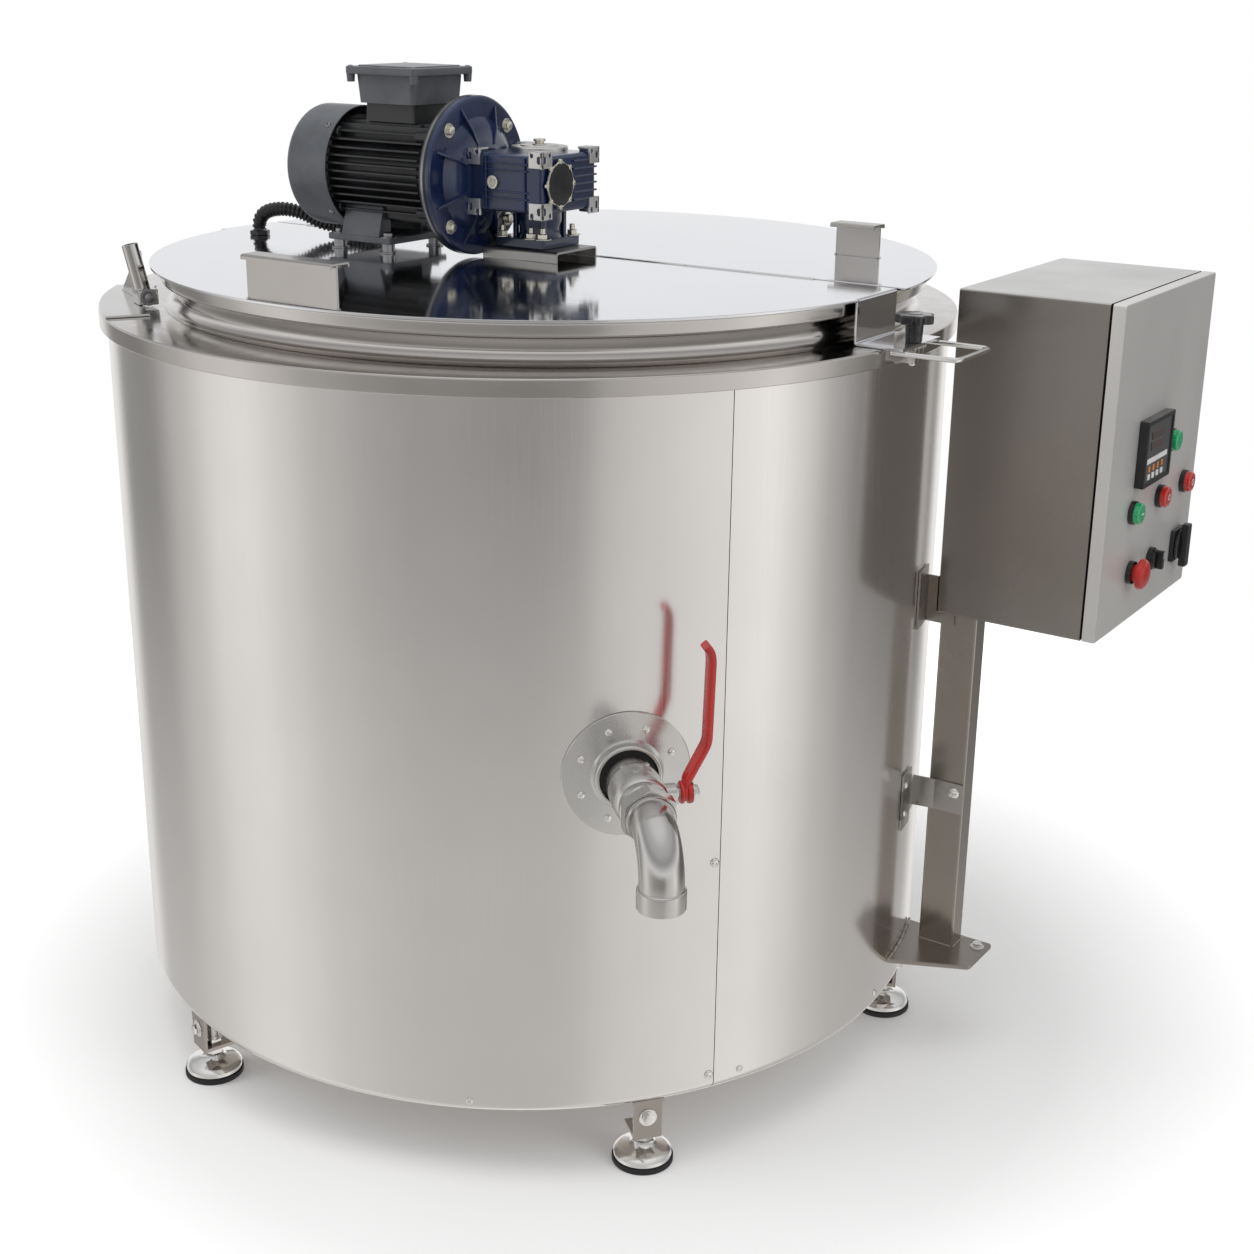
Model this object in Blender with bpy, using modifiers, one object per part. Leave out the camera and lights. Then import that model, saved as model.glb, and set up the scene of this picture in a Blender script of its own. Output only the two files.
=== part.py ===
"""Bulk milk tank: a round stainless vat on levelling feet, with a split lid that carries a
worm-geared agitator drive, a ball-valve outlet, and a control cabinet on its own column.

Metres, +Z up, floor at z = 0.  The pieces are laid out around the axis of the outer shell
(the tank frame); TANK_X moves that frame so that the whole object is centred on the origin.
+X runs from the lid hinge to the cabinet, and the lid is split along a line parallel to it.
"""
import math
from math import cos, pi, radians, sin, sqrt

import bmesh
import bpy
from mathutils import Matrix, Vector

GAP = 0.0003                      # clearance between pieces that touch

# outer shell, rim and vessel
SHELL_R = 0.540
SHELL_BOTTOM = 0.095
SHELL_TOP = 0.965
SHELL_SHEET = 0.002
SHELL_EDGE = 0.015                # radius of the bottom edge
SHELL_LIP = 0.045                 # width of the inward lip under the shell
RIM_R = 0.5496
RIM_TOP = 0.986
VESSEL_X = 0.018                  # the vessel, neck and lid stand off centre in the shell
VESSEL_Y = 0.006
NECK_R = 0.471
NECK_FILLET = 0.013
BEAD_R = 0.489
NECK_TOP = 1.036
VESSEL_WALL = 0.002
FLOOR_EDGE = 0.625
FLOOR_CENTRE = 0.578
DRAIN_R = 0.019
JACKET_R = 0.500
JACKET_BOTTOM = 0.200
JACKET_TOP = 0.940
INSULATION_BOTTOM = 0.150

# lid
LID_R = 0.5015
LID_SHEET = 0.003
LID_BOTTOM = NECK_TOP + GAP
LID_TOP = LID_BOTTOM + LID_SHEET
SEAM_Y = 0.028                    # axis of the flap hinge, parallel to X
SEAM_HALF = 0.003
FLAP_AXIS_Z = LID_TOP - 0.001
HINGE_X = -0.500                  # axis of the lid hinge, parallel to Y
HINGE_Z = 1.025
TONGUE_WIDTH = 0.100
TONGUE_X = 0.508
TONGUE_END = 0.570
TONGUE_Y = SEAM_Y - SEAM_HALF - TONGUE_WIDTH / 2
KNOB_X = 0.559

# drive: output shaft axis, worm axis and their sizes
DRIVE_X = 0.030
DRIVE_Y = -0.025
WORM_OFFSET = 0.045
WORM_Y = DRIVE_Y - WORM_OFFSET
WORM_Z = 1.1405
GEAR_LOW = (-0.0235, -0.106, 1.0970)  # corners of the gearbox body
GEAR_HIGH = (0.0935, 0.016, 1.1785)
BASE_LOW = (-0.018, -0.057)           # foot flange under the gearbox
BASE_HIGH = (0.060, 0.0220)
CHANNEL_LOW = (-0.0320, -0.064)
CHANNEL_HIGH = (0.084, 0.0245)
CHANNEL_TOP = LID_TOP + 0.014
FLANGE_FACE = -0.0405     # where motor and gearbox meet
FLANGE_R = 0.098
MOTOR_R = 0.062
MOTOR_END = FLANGE_FACE - 0.2005
COVER_R = 0.078
COVER_END = FLANGE_FACE - 0.2525
SHAFT_R = 0.0125

# outlet, laid out in its own frame: X outwards from the vessel axis, Z up
OUTLET_Z = 0.533
OUTLET_TURN = radians(-44.3)
SHELL_X = 0.5312                  # distance from the vessel axis to the shell, along the outlet
VALVE_X = 0.592
VALVE_R = 0.030
PIPE_R = 0.0215
PIPE_BORE = 0.019
ELBOW_PIPE_R = 0.0245
ELBOW_BORE = 0.0221
ELBOW_DROP = 0.076
ELBOW_X = 0.661
ELBOW_R = 0.050

# feet
FOOT_CIRCLE = 0.510
FOOT_ANGLES = [radians(a) for a in (21.0, 97.0, 173.0, 249.7, 321.3)]
PAD_R = 0.038

# column and cabinet
COLUMN_LOW = (0.545, 0.137)
COLUMN_HIGH = (0.595, 0.167)
COLUMN_BASE_TOP = 0.150
CABINET_LOW = (0.543, 0.130, 0.617)
CABINET_HIGH = (0.7325, 0.462, 1.030)
CABINET_SHEET = 0.0015
DOOR_BACK = 0.7355
DOOR_FRONT = 0.7515
CONTROL_R = 0.0110                # control that passes through a 22 mm hole
BEZEL_R = 0.0148
HEAD_R = 0.0135                     # head of a push button
BEZEL_FRONT = DOOR_FRONT + 0.0065
ESTOP_FRONT = DOOR_FRONT + 0.0245

TANK_X = (RIM_R - ESTOP_FRONT) / 2

RING_SIDES = 56
PART_NAME = "bulk_milk_tank"


# ---------------------------------------------------------------- scene and materials

for old in list(bpy.data.objects):
    bpy.data.objects.remove(old, do_unlink=True)

parts = bpy.data.collections.new(PART_NAME)
tools = bpy.data.collections.new("cutters")
bpy.context.scene.collection.children.link(parts)
bpy.context.scene.collection.children.link(tools)


def material(name, colour, roughness, metallic=0.0):
    made = bpy.data.materials.new(name)
    made.use_nodes = True
    shader = made.node_tree.nodes["Principled BSDF"]
    shader.inputs["Base Color"].default_value = (*colour, 1.0)
    shader.inputs["Roughness"].default_value = roughness
    shader.inputs["Metallic"].default_value = metallic
    return made


STEEL = material("brushed_stainless", (0.62, 0.61, 0.60), 0.30, 1.0)
POLISHED = material("bright_stainless", (0.70, 0.69, 0.68), 0.16, 1.0)
NAVY = material("navy_paint", (0.010, 0.035, 0.110), 0.35)
MOTOR_GREY = material("motor_grey_paint", (0.055, 0.058, 0.062), 0.45)
COVER_GREY = material("cover_grey_paint", (0.140, 0.150, 0.165), 0.40)
RED_SLEEVE = material("red_sleeve", (0.62, 0.035, 0.015), 0.35)
RED = material("red_plastic", (0.60, 0.03, 0.02), 0.35)
GREEN = material("green_plastic", (0.01, 0.25, 0.09), 0.35)
BLACK = material("black_plastic", (0.012, 0.012, 0.013), 0.45)
RUBBER = material("black_rubber", (0.015, 0.015, 0.015), 0.75)
FOAM = material("yellow_foam", (0.65, 0.52, 0.22), 0.90)
COPPER = material("copper", (0.72, 0.35, 0.20), 0.35, 1.0)
BRONZE = material("bronze", (0.62, 0.40, 0.16), 0.40, 1.0)
DARK_STEEL = material("dark_steel", (0.30, 0.30, 0.31), 0.40, 1.0)


# ---------------------------------------------------------------- frames and parenting

def empty(name, place, turn=0.0, parent=None):
    """An empty at a place in its parent's frame, turned about Z."""
    made = bpy.data.objects.new(name, None)
    made.empty_display_size = 0.05
    made.location = place
    made.rotation_euler = (0.0, 0.0, turn)
    made.parent = parent
    parts.objects.link(made)
    return made


def carry(piece, axis):
    """Parent a piece to an empty on its joint's axis; the piece is modelled in the frame
    that the empty itself stands in, and stays where it is."""
    piece.parent = axis
    basis = Matrix.Translation(axis.location) @ axis.rotation_euler.to_matrix().to_4x4()
    piece.matrix_parent_inverse = basis.inverted()
    return piece


tank_axis = empty("tank_axis", (TANK_X, 0.0, 0.0))
vessel_axis = empty("vessel_axis", (VESSEL_X, VESSEL_Y, 0.0), parent=tank_axis)
outlet_frame = empty("outlet_frame", (VESSEL_X, VESSEL_Y, OUTLET_Z), OUTLET_TURN, tank_axis)
valve_axis = empty("valve_axis", (VALVE_X, 0.0, 0.0), parent=outlet_frame)
lid_axis = empty("lid_axis", (HINGE_X, DRIVE_Y, HINGE_Z), parent=tank_axis)
flap_axis = empty("flap_axis", (0.0, SEAM_Y, FLAP_AXIS_Z), parent=tank_axis)
knob_axis = empty("knob_axis", (KNOB_X, TONGUE_Y, RIM_TOP), parent=tank_axis)
agitator_axis = empty("agitator_axis", (DRIVE_X, DRIVE_Y, WORM_Z), parent=tank_axis)
worm_axis = empty("worm_axis", (DRIVE_X, WORM_Y, WORM_Z), parent=tank_axis)
door_axis = empty("door_axis", (DOOR_BACK - 0.001, CABINET_HIGH[1] - 0.0005,
                                CABINET_LOW[2]), parent=tank_axis)


# ---------------------------------------------------------------- shape tools

def piece_from(mesh, name, paint, frame, smooth=True):
    if smooth:
        mesh.shade_smooth()
        mesh.set_sharp_from_angle(angle=radians(35))
    made = bpy.data.objects.new(name, mesh)
    parts.objects.link(made)
    if paint:
        mesh.materials.append(paint)
    made.parent = frame
    return made


def block(name, low, high, paint=None, frame=tank_axis):
    """A box between two corners."""
    mesh = bpy.data.meshes.new(name)
    shape = bmesh.new()
    bmesh.ops.create_cube(shape, size=1.0)
    size = [b - a for a, b in zip(low, high)]
    middle = [(a + b) / 2 for a, b in zip(low, high)]
    bmesh.ops.scale(shape, vec=size, verts=shape.verts)
    bmesh.ops.translate(shape, vec=middle, verts=shape.verts)
    shape.to_mesh(mesh)
    shape.free()
    return piece_from(mesh, name, paint, frame, smooth=False)


def round_bar(name, start, end, radius, paint=None, frame=tank_axis, sides=24, end_radius=None):
    """A cylinder or cone from one point to another."""
    start, end = Vector(start), Vector(end)
    mesh = bpy.data.meshes.new(name)
    shape = bmesh.new()
    bmesh.ops.create_cone(shape, cap_ends=True, segments=sides, radius1=radius,
                          radius2=radius if end_radius is None else end_radius,
                          depth=(end - start).length)
    turn = Vector((0, 0, 1)).rotation_difference(end - start).to_matrix().to_4x4()
    bmesh.ops.transform(shape, matrix=Matrix.Translation((start + end) / 2) @ turn,
                        verts=shape.verts)
    shape.to_mesh(mesh)
    shape.free()
    return piece_from(mesh, name, paint, frame)


def ball(name, centre, radius, paint=None, frame=tank_axis):
    mesh = bpy.data.meshes.new(name)
    shape = bmesh.new()
    bmesh.ops.create_uvsphere(shape, u_segments=20, v_segments=12, radius=radius)
    bmesh.ops.translate(shape, vec=centre, verts=shape.verts)
    shape.to_mesh(mesh)
    shape.free()
    return piece_from(mesh, name, paint, frame)


def turned(name, profile, paint=None, frame=tank_axis, sides=RING_SIDES, along_x=None):
    """A turned shape: (radius, height) points that run down the outer side.  A profile that
    starts and ends on the axis stays open there, any other is closed into a ring.
    along_x turns it about the line parallel to X through that (y, z)."""
    mesh = bpy.data.meshes.new(name)
    shape = bmesh.new()
    corners = [shape.verts.new((r, 0.0, z)) for r, z in profile]
    for a, b in zip(corners, corners[1:]):
        shape.edges.new((a, b))
    if profile[0][0] > 0.0:
        shape.edges.new((corners[-1], corners[0]))
    shape.to_mesh(mesh)
    shape.free()
    made = piece_from(mesh, name, paint, frame, smooth=False)
    screw = made.modifiers.new("Screw", "SCREW")
    screw.axis = "Z"
    screw.angle = 2 * pi
    screw.steps = screw.render_steps = sides
    screw.use_merge_vertices = True
    screw.merge_threshold = 0.00001
    screw.use_smooth_shade = False
    if along_x is not None:
        made.location = (0.0, along_x[0], along_x[1])
        made.rotation_euler = (0.0, pi / 2, 0.0)
    return made


def arc(centre, radius, start, end, steps=4):
    """Points along an arc, angles in degrees."""
    angles = [radians(start + (end - start) * i / steps) for i in range(steps + 1)]
    return [(centre[0] + radius * cos(a), centre[1] + radius * sin(a)) for a in angles]


def sheet(name, outline, thickness, paint=None, frame=tank_axis, place=None):
    """A flat outline, thickness centred on its own XY plane, moved by the matrix place."""
    curve = bpy.data.curves.new(name, "CURVE")
    curve.dimensions = "2D"
    curve.fill_mode = "BOTH"
    curve.extrude = thickness / 2
    spline = curve.splines.new("POLY")
    spline.points.add(len(outline) - 1)
    for point, (x, y) in zip(spline.points, outline):
        point.co = (x, y, 0.0, 1.0)
    spline.use_cyclic_u = True
    return solid_from_curve(name, curve, paint, frame, place)


def solid_from_curve(name, curve, paint, frame, place=None):
    """The welded mesh of a curve, so that it can be cut and joined."""
    guide = bpy.data.objects.new(name + "_curve", curve)
    bpy.context.scene.collection.objects.link(guide)
    graph = bpy.context.evaluated_depsgraph_get()
    mesh = bpy.data.meshes.new_from_object(guide.evaluated_get(graph))
    mesh.name = name
    shape = bmesh.new()
    shape.from_mesh(mesh)
    bmesh.ops.remove_doubles(shape, verts=shape.verts, dist=0.00001)
    if place is not None:
        bmesh.ops.transform(shape, matrix=place, verts=shape.verts)
    bmesh.ops.recalc_face_normals(shape, faces=shape.faces)
    shape.to_mesh(mesh)
    shape.free()
    bpy.data.objects.remove(guide)
    bpy.data.curves.remove(curve)
    return piece_from(mesh, name, paint, frame)


def rod(name, points, radius, paint=None, frame=tank_axis, resolution=2, closed=False):
    """A round rod along a list of points."""
    curve = bpy.data.curves.new(name, "CURVE")
    curve.dimensions = "3D"
    curve.bevel_depth = radius
    curve.bevel_resolution = resolution
    curve.use_fill_caps = True
    spline = curve.splines.new("POLY")
    spline.points.add(len(points) - 1)
    for point, place in zip(spline.points, points):
        point.co = (*place, 1.0)
    spline.use_cyclic_u = closed
    return solid_from_curve(name, curve, paint, frame)


def boolean(piece, tool, operation):
    """Cut or join with a tool, which is kept as a hidden guide."""
    change = piece.modifiers.new(operation.title(), "BOOLEAN")
    change.operation = operation
    change.object = tool
    tool.hide_render = True
    tool.display_type = "WIRE"
    parts.objects.unlink(tool)
    tools.objects.link(tool)


def cut(piece, *cutters):
    for cutter in cutters:
        boolean(piece, cutter, "DIFFERENCE")
    return piece


def join(piece, *others):
    for other in others:
        boolean(piece, other, "UNION")
    return piece


def keep_inside(piece, limit):
    boolean(piece, limit, "INTERSECT")
    return piece


def facing_x(x):
    """Places a flat outline (y, z) in the plane at this x."""
    return Matrix(((0, 0, 1, x), (1, 0, 0, 0), (0, 1, 0, 0), (0, 0, 0, 1)))


def facing_y(y):
    """Places a flat outline (x, z) in the plane at this y."""
    return Matrix(((1, 0, 0, 0), (0, 0, -1, y), (0, 1, 0, 0), (0, 0, 0, 1)))


def lying(z):
    """Places a flat outline (x, y) at this height."""
    return Matrix.Translation((0.0, 0.0, z))


def ribbon(centre_line, thickness):
    """The outline of a strip of even thickness along a flat line."""
    left, right = [], []
    for i, point in enumerate(centre_line):
        here = Vector(point)
        before = Vector(centre_line[max(i - 1, 0)])
        after = Vector(centre_line[min(i + 1, len(centre_line) - 1)])
        along_in = (here - before).normalized() if i else (after - here).normalized()
        along_out = (after - here).normalized() if i < len(centre_line) - 1 else along_in
        across = Vector((-(along_in + along_out).y, (along_in + along_out).x)).normalized()
        reach = thickness / 2 / max(across.dot(Vector((-along_in.y, along_in.x))), 0.3)
        left.append(tuple(here + across * reach))
        right.append(tuple(here - across * reach))
    return left + right[::-1]


def ring_sector(inner, outer, start, end, steps=8):
    """The outline of part of a flat ring around the tank axis, angles in degrees."""
    return arc((0, 0), outer, start, end, steps) + arc((0, 0), inner, end, start, steps)


# ---------------------------------------------------------------- shell, rim and vessel

def build_shell():
    inner_edge = SHELL_EDGE - SHELL_SHEET
    low = SHELL_BOTTOM
    centre = (SHELL_R - SHELL_EDGE, low + SHELL_EDGE)
    outer = arc(centre, SHELL_EDGE, 0, -90, 2)
    inner = arc(centre, inner_edge, -90, 0, 2)
    shell = turned("outer_shell",
                   [(SHELL_R, SHELL_TOP)] + outer + [(SHELL_R - SHELL_LIP, low)]
                   + [(SHELL_R - SHELL_LIP, low + SHELL_SHEET)] + inner
                   + [(SHELL_R - SHELL_SHEET, SHELL_TOP)], STEEL)
    cut(shell, round_bar("shell_hole", (0.48, 0, 0), (0.60, 0, 0), 0.0335, frame=outlet_frame))


def build_base():
    """Floor of the housing, with a welded bracket over each foot."""
    disc_low = SHELL_BOTTOM + SHELL_SHEET + GAP
    leg_high = SHELL_BOTTOM - GAP
    base = turned("base_frame", [(0, disc_low + 0.004), (0.518, disc_low + 0.004),
                                 (0.518, disc_low), (0, disc_low)], STEEL)
    for number, angle in enumerate(FOOT_ANGLES, 1):
        spot = empty(f"foot_frame_{number}", (0, 0, 0), angle, tank_axis)
        spacer = block("bracket_spacer", (0.437, -0.018, leg_high - 0.004),
                       (0.488, 0.018, disc_low + 0.001), frame=spot)
        leg = block("bracket_leg", (0.435, -0.020, leg_high - 0.005),
                    (0.530, 0.020, leg_high), frame=spot)
        plate = block("bracket_plate", (0.525, -0.018, 0.040), (0.529, 0.018, leg_high - 0.001),
                      frame=spot)
        tab = block("bracket_tab", (0.488, -0.017, 0.0402), (0.528, 0.017, 0.045), frame=spot)
        hole = round_bar("bracket_hole", (FOOT_CIRCLE, 0, 0.03), (FOOT_CIRCLE, 0, 0.055),
                         0.0086, frame=spot, sides=16)
        join(base, spacer, leg, plate, tab)
        cut(base, hole)
        build_foot(number, spot)


def build_foot(number, spot):
    """A steel pad and threaded stem with two lock nuts, on a rubber sole."""
    centre = empty(f"foot_axis_{number}", (FOOT_CIRCLE, 0, 0), 0.0, spot)
    sole_top = 0.0077
    foot = turned(f"levelling_foot_{number}",
                  [(0, 0.080), (0.0080, 0.080), (0.0080, 0.030), (0.0125, 0.028),
                   (0.0340, 0.016), (0.0360, 0.014), (0.0360, sole_top + GAP),
                   (0, sole_top + GAP)], POLISHED, centre, sides=16)
    for low, high in ((0.0310, 0.0397), (0.0453, 0.0530)):
        join(foot, round_bar("lock_nut", (0, 0, low), (0, 0, high), 0.0135, frame=centre,
                             sides=6))
    turned(f"foot_rubber_{number}", [(0, sole_top), (PAD_R, sole_top), (PAD_R, 0.001),
                                     (PAD_R - 0.001, 0), (0, 0)], RUBBER, centre, sides=24)


def build_vessel():
    """The milk vessel with its neck and bead, one skin open at the top and at the drain."""
    wall_in = NECK_R - VESSEL_WALL
    corner = 0.030
    slope = (FLOOR_EDGE - FLOOR_CENTRE) / (wall_in - DRAIN_R)
    inside = [(DRAIN_R, FLOOR_CENTRE), (wall_in - corner, FLOOR_EDGE - corner * slope)]
    inside += arc((wall_in - corner, FLOOR_EDGE + corner - 0.003), corner, -84, 0, 2)
    bead = [(wall_in, NECK_TOP - 0.004), (wall_in + 0.004, NECK_TOP),
            (BEAD_R - 0.002, NECK_TOP), (BEAD_R, NECK_TOP - 0.002),
            (BEAD_R, 1.021), (BEAD_R - 0.002, 1.019), (NECK_R + 0.002, 1.017), (NECK_R, 1.014)]
    skirt = RIM_TOP + GAP
    fillet = arc((NECK_R + NECK_FILLET, skirt + 0.0005 + NECK_FILLET), NECK_FILLET, 180, 270, 3)
    fillet += [(NECK_R + NECK_FILLET, skirt), (NECK_R, skirt)]
    outside = [(wall_in - corner, FLOOR_EDGE - corner * slope - VESSEL_WALL),
               (DRAIN_R, FLOOR_CENTRE - VESSEL_WALL)]
    outer_corner = arc((wall_in - corner, FLOOR_EDGE + corner - 0.003), corner + VESSEL_WALL,
                       0, -84, 2)
    turned("inner_vessel", inside + bead + fillet + outer_corner + outside, STEEL, vessel_axis)


def build_rim():
    """The ring that closes the shell at the top, with the threaded lug for the lid clamp."""
    sheet_t = 0.002
    rim = turned("top_rim", [(RIM_R, RIM_TOP - 0.001), (RIM_R, SHELL_TOP + 0.0003),
                             (RIM_R - sheet_t, SHELL_TOP + 0.0003),
                             (RIM_R - sheet_t, RIM_TOP - sheet_t), (0.440, RIM_TOP - sheet_t),
                             (0.440, RIM_TOP), (RIM_R - 0.001, RIM_TOP)], STEEL, sides=72)
    cut(rim, round_bar("neck_hole", (0, 0, 0.95), (0, 0, 1.0), NECK_R + 0.0005,
                       frame=vessel_axis, sides=RING_SIDES))
    join(rim, block("clamp_lug", (0.545, TONGUE_Y - 0.015, 0.967),
                    (TONGUE_END - 0.001, TONGUE_Y + 0.015, RIM_TOP)))
    cut(rim, round_bar("lug_hole", (KNOB_X, TONGUE_Y, 0.95), (KNOB_X, TONGUE_Y, 1.0), 0.0056,
                       sides=16))


def build_jacket():
    """Water jacket around the vessel, its evaporator coil and the foam outside it."""
    wall = 0.002
    top_in = NECK_R + 0.0005
    jacket = turned("jacket_vessel",
                    [(0, JACKET_BOTTOM + wall), (JACKET_R - wall, JACKET_BOTTOM + wall),
                     (JACKET_R - wall, JACKET_TOP - wall), (top_in, JACKET_TOP - wall),
                     (top_in, JACKET_TOP), (JACKET_R, JACKET_TOP), (JACKET_R, JACKET_BOTTOM),
                     (0, JACKET_BOTTOM)], STEEL, vessel_axis)
    cut(jacket, round_bar("jacket_hole", (0.40, 0, 0), (0.60, 0, 0), PIPE_R + 0.0006,
                          frame=outlet_frame))
    foam_in = JACKET_R + GAP * 2
    foam = turned("insulation", [(0, SHELL_TOP - 0.010), (SHELL_R - 0.003, SHELL_TOP - 0.010),
                                 (SHELL_R - 0.003, INSULATION_BOTTOM), (0, INSULATION_BOTTOM)],
                  FOAM)
    cut(foam, round_bar("foam_hollow", (0, 0, JACKET_BOTTOM - GAP * 2), (0, 0, 1.0), foam_in,
                        frame=vessel_axis, sides=RING_SIDES))
    cut(foam, round_bar("foam_hole", (0.40, 0, 0), (0.60, 0, 0), 0.0335, frame=outlet_frame))
    turns, radius, pitch, per_turn = 3, 0.420, 0.055, 24
    route = [(radius * cos(2 * pi * i / per_turn), radius * sin(2 * pi * i / per_turn),
              0.260 + pitch * i / per_turn) for i in range(turns * per_turn + 1)]
    rod("evaporator_coil", route, 0.010, COPPER, vessel_axis, resolution=0)


# ---------------------------------------------------------------- outlet

def build_outlet():
    pipe = rod("outlet_pipe", [(0, 0, 0.0422)] + [
        (0.030 - 0.030 * cos(radians(a)), 0, 0.001 + 0.030 - 0.031 * sin(radians(a)))
        for a in (0, 30, 60, 90)] + [(SHELL_X + 0.0095, 0, 0)], PIPE_R, STEEL, outlet_frame, 3)
    cut(pipe, rod("pipe_bore", [(0, 0, 0.060)] + [
        (0.030 - 0.030 * cos(radians(a)), 0, 0.001 + 0.030 - 0.031 * sin(radians(a)))
        for a in (0, 30, 60, 90)] + [(SHELL_X + 0.020, 0, 0)], PIPE_BORE - 0.0005,
        frame=outlet_frame, resolution=3))

    rosette = turned("outlet_rosette", [(SHELL_R + 0.0023, 0.62), (SHELL_R + 0.0023, 0.44),
                                        (SHELL_R + GAP, 0.44), (SHELL_R + GAP, 0.62)],
                     STEEL, sides=180)
    keep_inside(rosette, round_bar("rosette_round", (0.45, 0, 0), (0.60, 0, 0), 0.075,
                                   frame=outlet_frame, sides=48))
    join(rosette, round_bar("rosette_collar", (SHELL_X + 0.001, 0, 0), (SHELL_X + 0.014, 0, 0),
                            0.0365, frame=outlet_frame, sides=36))
    cut(rosette, round_bar("rosette_bore", (0.45, 0, 0), (0.60, 0, 0), 0.0335,
                           frame=outlet_frame, sides=36))

    seal = round_bar("outlet_seal", (SHELL_X + 0.002, 0, 0), (SHELL_X + 0.0090, 0, 0), 0.0331,
                     RUBBER, outlet_frame, 36)
    cut(seal, round_bar("seal_bore", (0.45, 0, 0), (0.60, 0, 0), PIPE_R + 0.0004,
                        frame=outlet_frame))

    body_start, body_end = SHELL_X + 0.0098, 0.632
    body = round_bar("valve_body", (body_start, 0, 0), (body_end, 0, 0), VALVE_R - 0.001,
                     STEEL, outlet_frame, 36)
    join(body,
         round_bar("body_band", (VALVE_X - 0.022, 0, 0), (VALVE_X + 0.022, 0, 0), VALVE_R,
                   frame=outlet_frame, sides=36),
         round_bar("stem_boss", (VALVE_X, 0.020, 0), (VALVE_X, 0.043, 0), 0.011,
                   frame=outlet_frame))
    cut(body,
        round_bar("valve_bore", (0.50, 0, 0), (0.70, 0, 0), PIPE_BORE - 0.0005,
                  frame=outlet_frame),
        ball("ball_seat", (VALVE_X, 0, 0), 0.0247, frame=outlet_frame),
        round_bar("stem_bore", (VALVE_X, 0, 0), (VALVE_X, 0.060, 0), 0.0060,
                  frame=outlet_frame, sides=16))

    nut = round_bar("valve_nut", (body_end + GAP, 0, 0), (0.655, 0, 0), 0.0325, STEEL,
                    outlet_frame, 6)
    cut(nut, round_bar("nut_bore", (0.60, 0, 0), (0.70, 0, 0), PIPE_BORE, frame=outlet_frame))

    bend = [(ELBOW_X + ELBOW_R * sin(radians(a)), 0, -ELBOW_R + ELBOW_R * cos(radians(a)))
            for a in range(0, 91, 15)]
    leg = ELBOW_X + ELBOW_R
    elbow = rod("outlet_elbow", [(0.655 + GAP, 0, 0)] + bend + [(leg, 0, -ELBOW_DROP + 0.006)],
                ELBOW_PIPE_R, STEEL, outlet_frame, 4)
    join(elbow,
         round_bar("elbow_ferrule", (0.655 + GAP, 0, 0), (0.661, 0, 0), 0.0280,
                   frame=outlet_frame, sides=32),
         round_bar("elbow_collar", (leg, 0, -ELBOW_DROP + 0.0235), (leg, 0, -ELBOW_DROP), 0.0270,
                   frame=outlet_frame, sides=32))
    cut(elbow, rod("elbow_bore", [(0.640, 0, 0)] + bend + [(leg, 0, -0.100)], ELBOW_BORE,
                   frame=outlet_frame, resolution=4))
    build_valve_trim()


def build_valve_trim():
    """Ball, stem and lever, which turn together; the lever stands up when it is shut."""
    stopper = ball("valve_ball", (VALVE_X, 0, 0), 0.0242, POLISHED, outlet_frame)
    cut(stopper,
        round_bar("ball_bore", (VALVE_X, 0, -0.04), (VALVE_X, 0, 0.04), PIPE_BORE - 0.0015,
                  frame=outlet_frame),
        block("ball_slot", (VALVE_X - 0.0035, 0.0205, -0.02), (VALVE_X + 0.0035, 0.04, 0.02),
              frame=outlet_frame))
    stem = round_bar("valve_stem", (VALVE_X, 0.0252, 0), (VALVE_X, 0.0685, 0), 0.0055,
                     POLISHED, outlet_frame, 16)
    join(stem,
         block("stem_key", (VALVE_X - 0.003, 0.0210, -0.005), (VALVE_X + 0.003, 0.0260, 0.005),
               frame=outlet_frame),
         round_bar("stem_nut", (VALVE_X, 0.0603, 0), (VALVE_X, 0.0665, 0), 0.0095,
                   frame=outlet_frame, sides=6))
    line = [(0.0530, -0.012), (0.0530, 0.012), (0.0765, 0.056), (0.0785, 0.156),
            (0.0765, 0.165), (0.0710, 0.171)]
    lever = sheet("valve_lever", ribbon(line, 0.009), 0.020, RED_SLEEVE, outlet_frame,
                  facing_x(VALVE_X))
    join(lever, round_bar("lever_hub", (VALVE_X, 0.0460, 0), (VALVE_X, 0.0600, 0), 0.0125,
                          frame=outlet_frame))
    cut(lever, round_bar("hub_bore", (VALVE_X, 0.03, 0), (VALVE_X, 0.075, 0), 0.0058,
                         frame=outlet_frame, sides=16))
    for piece in (stopper, stem, lever):
        carry(piece, valve_axis)


# ---------------------------------------------------------------- column and cabinet

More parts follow.
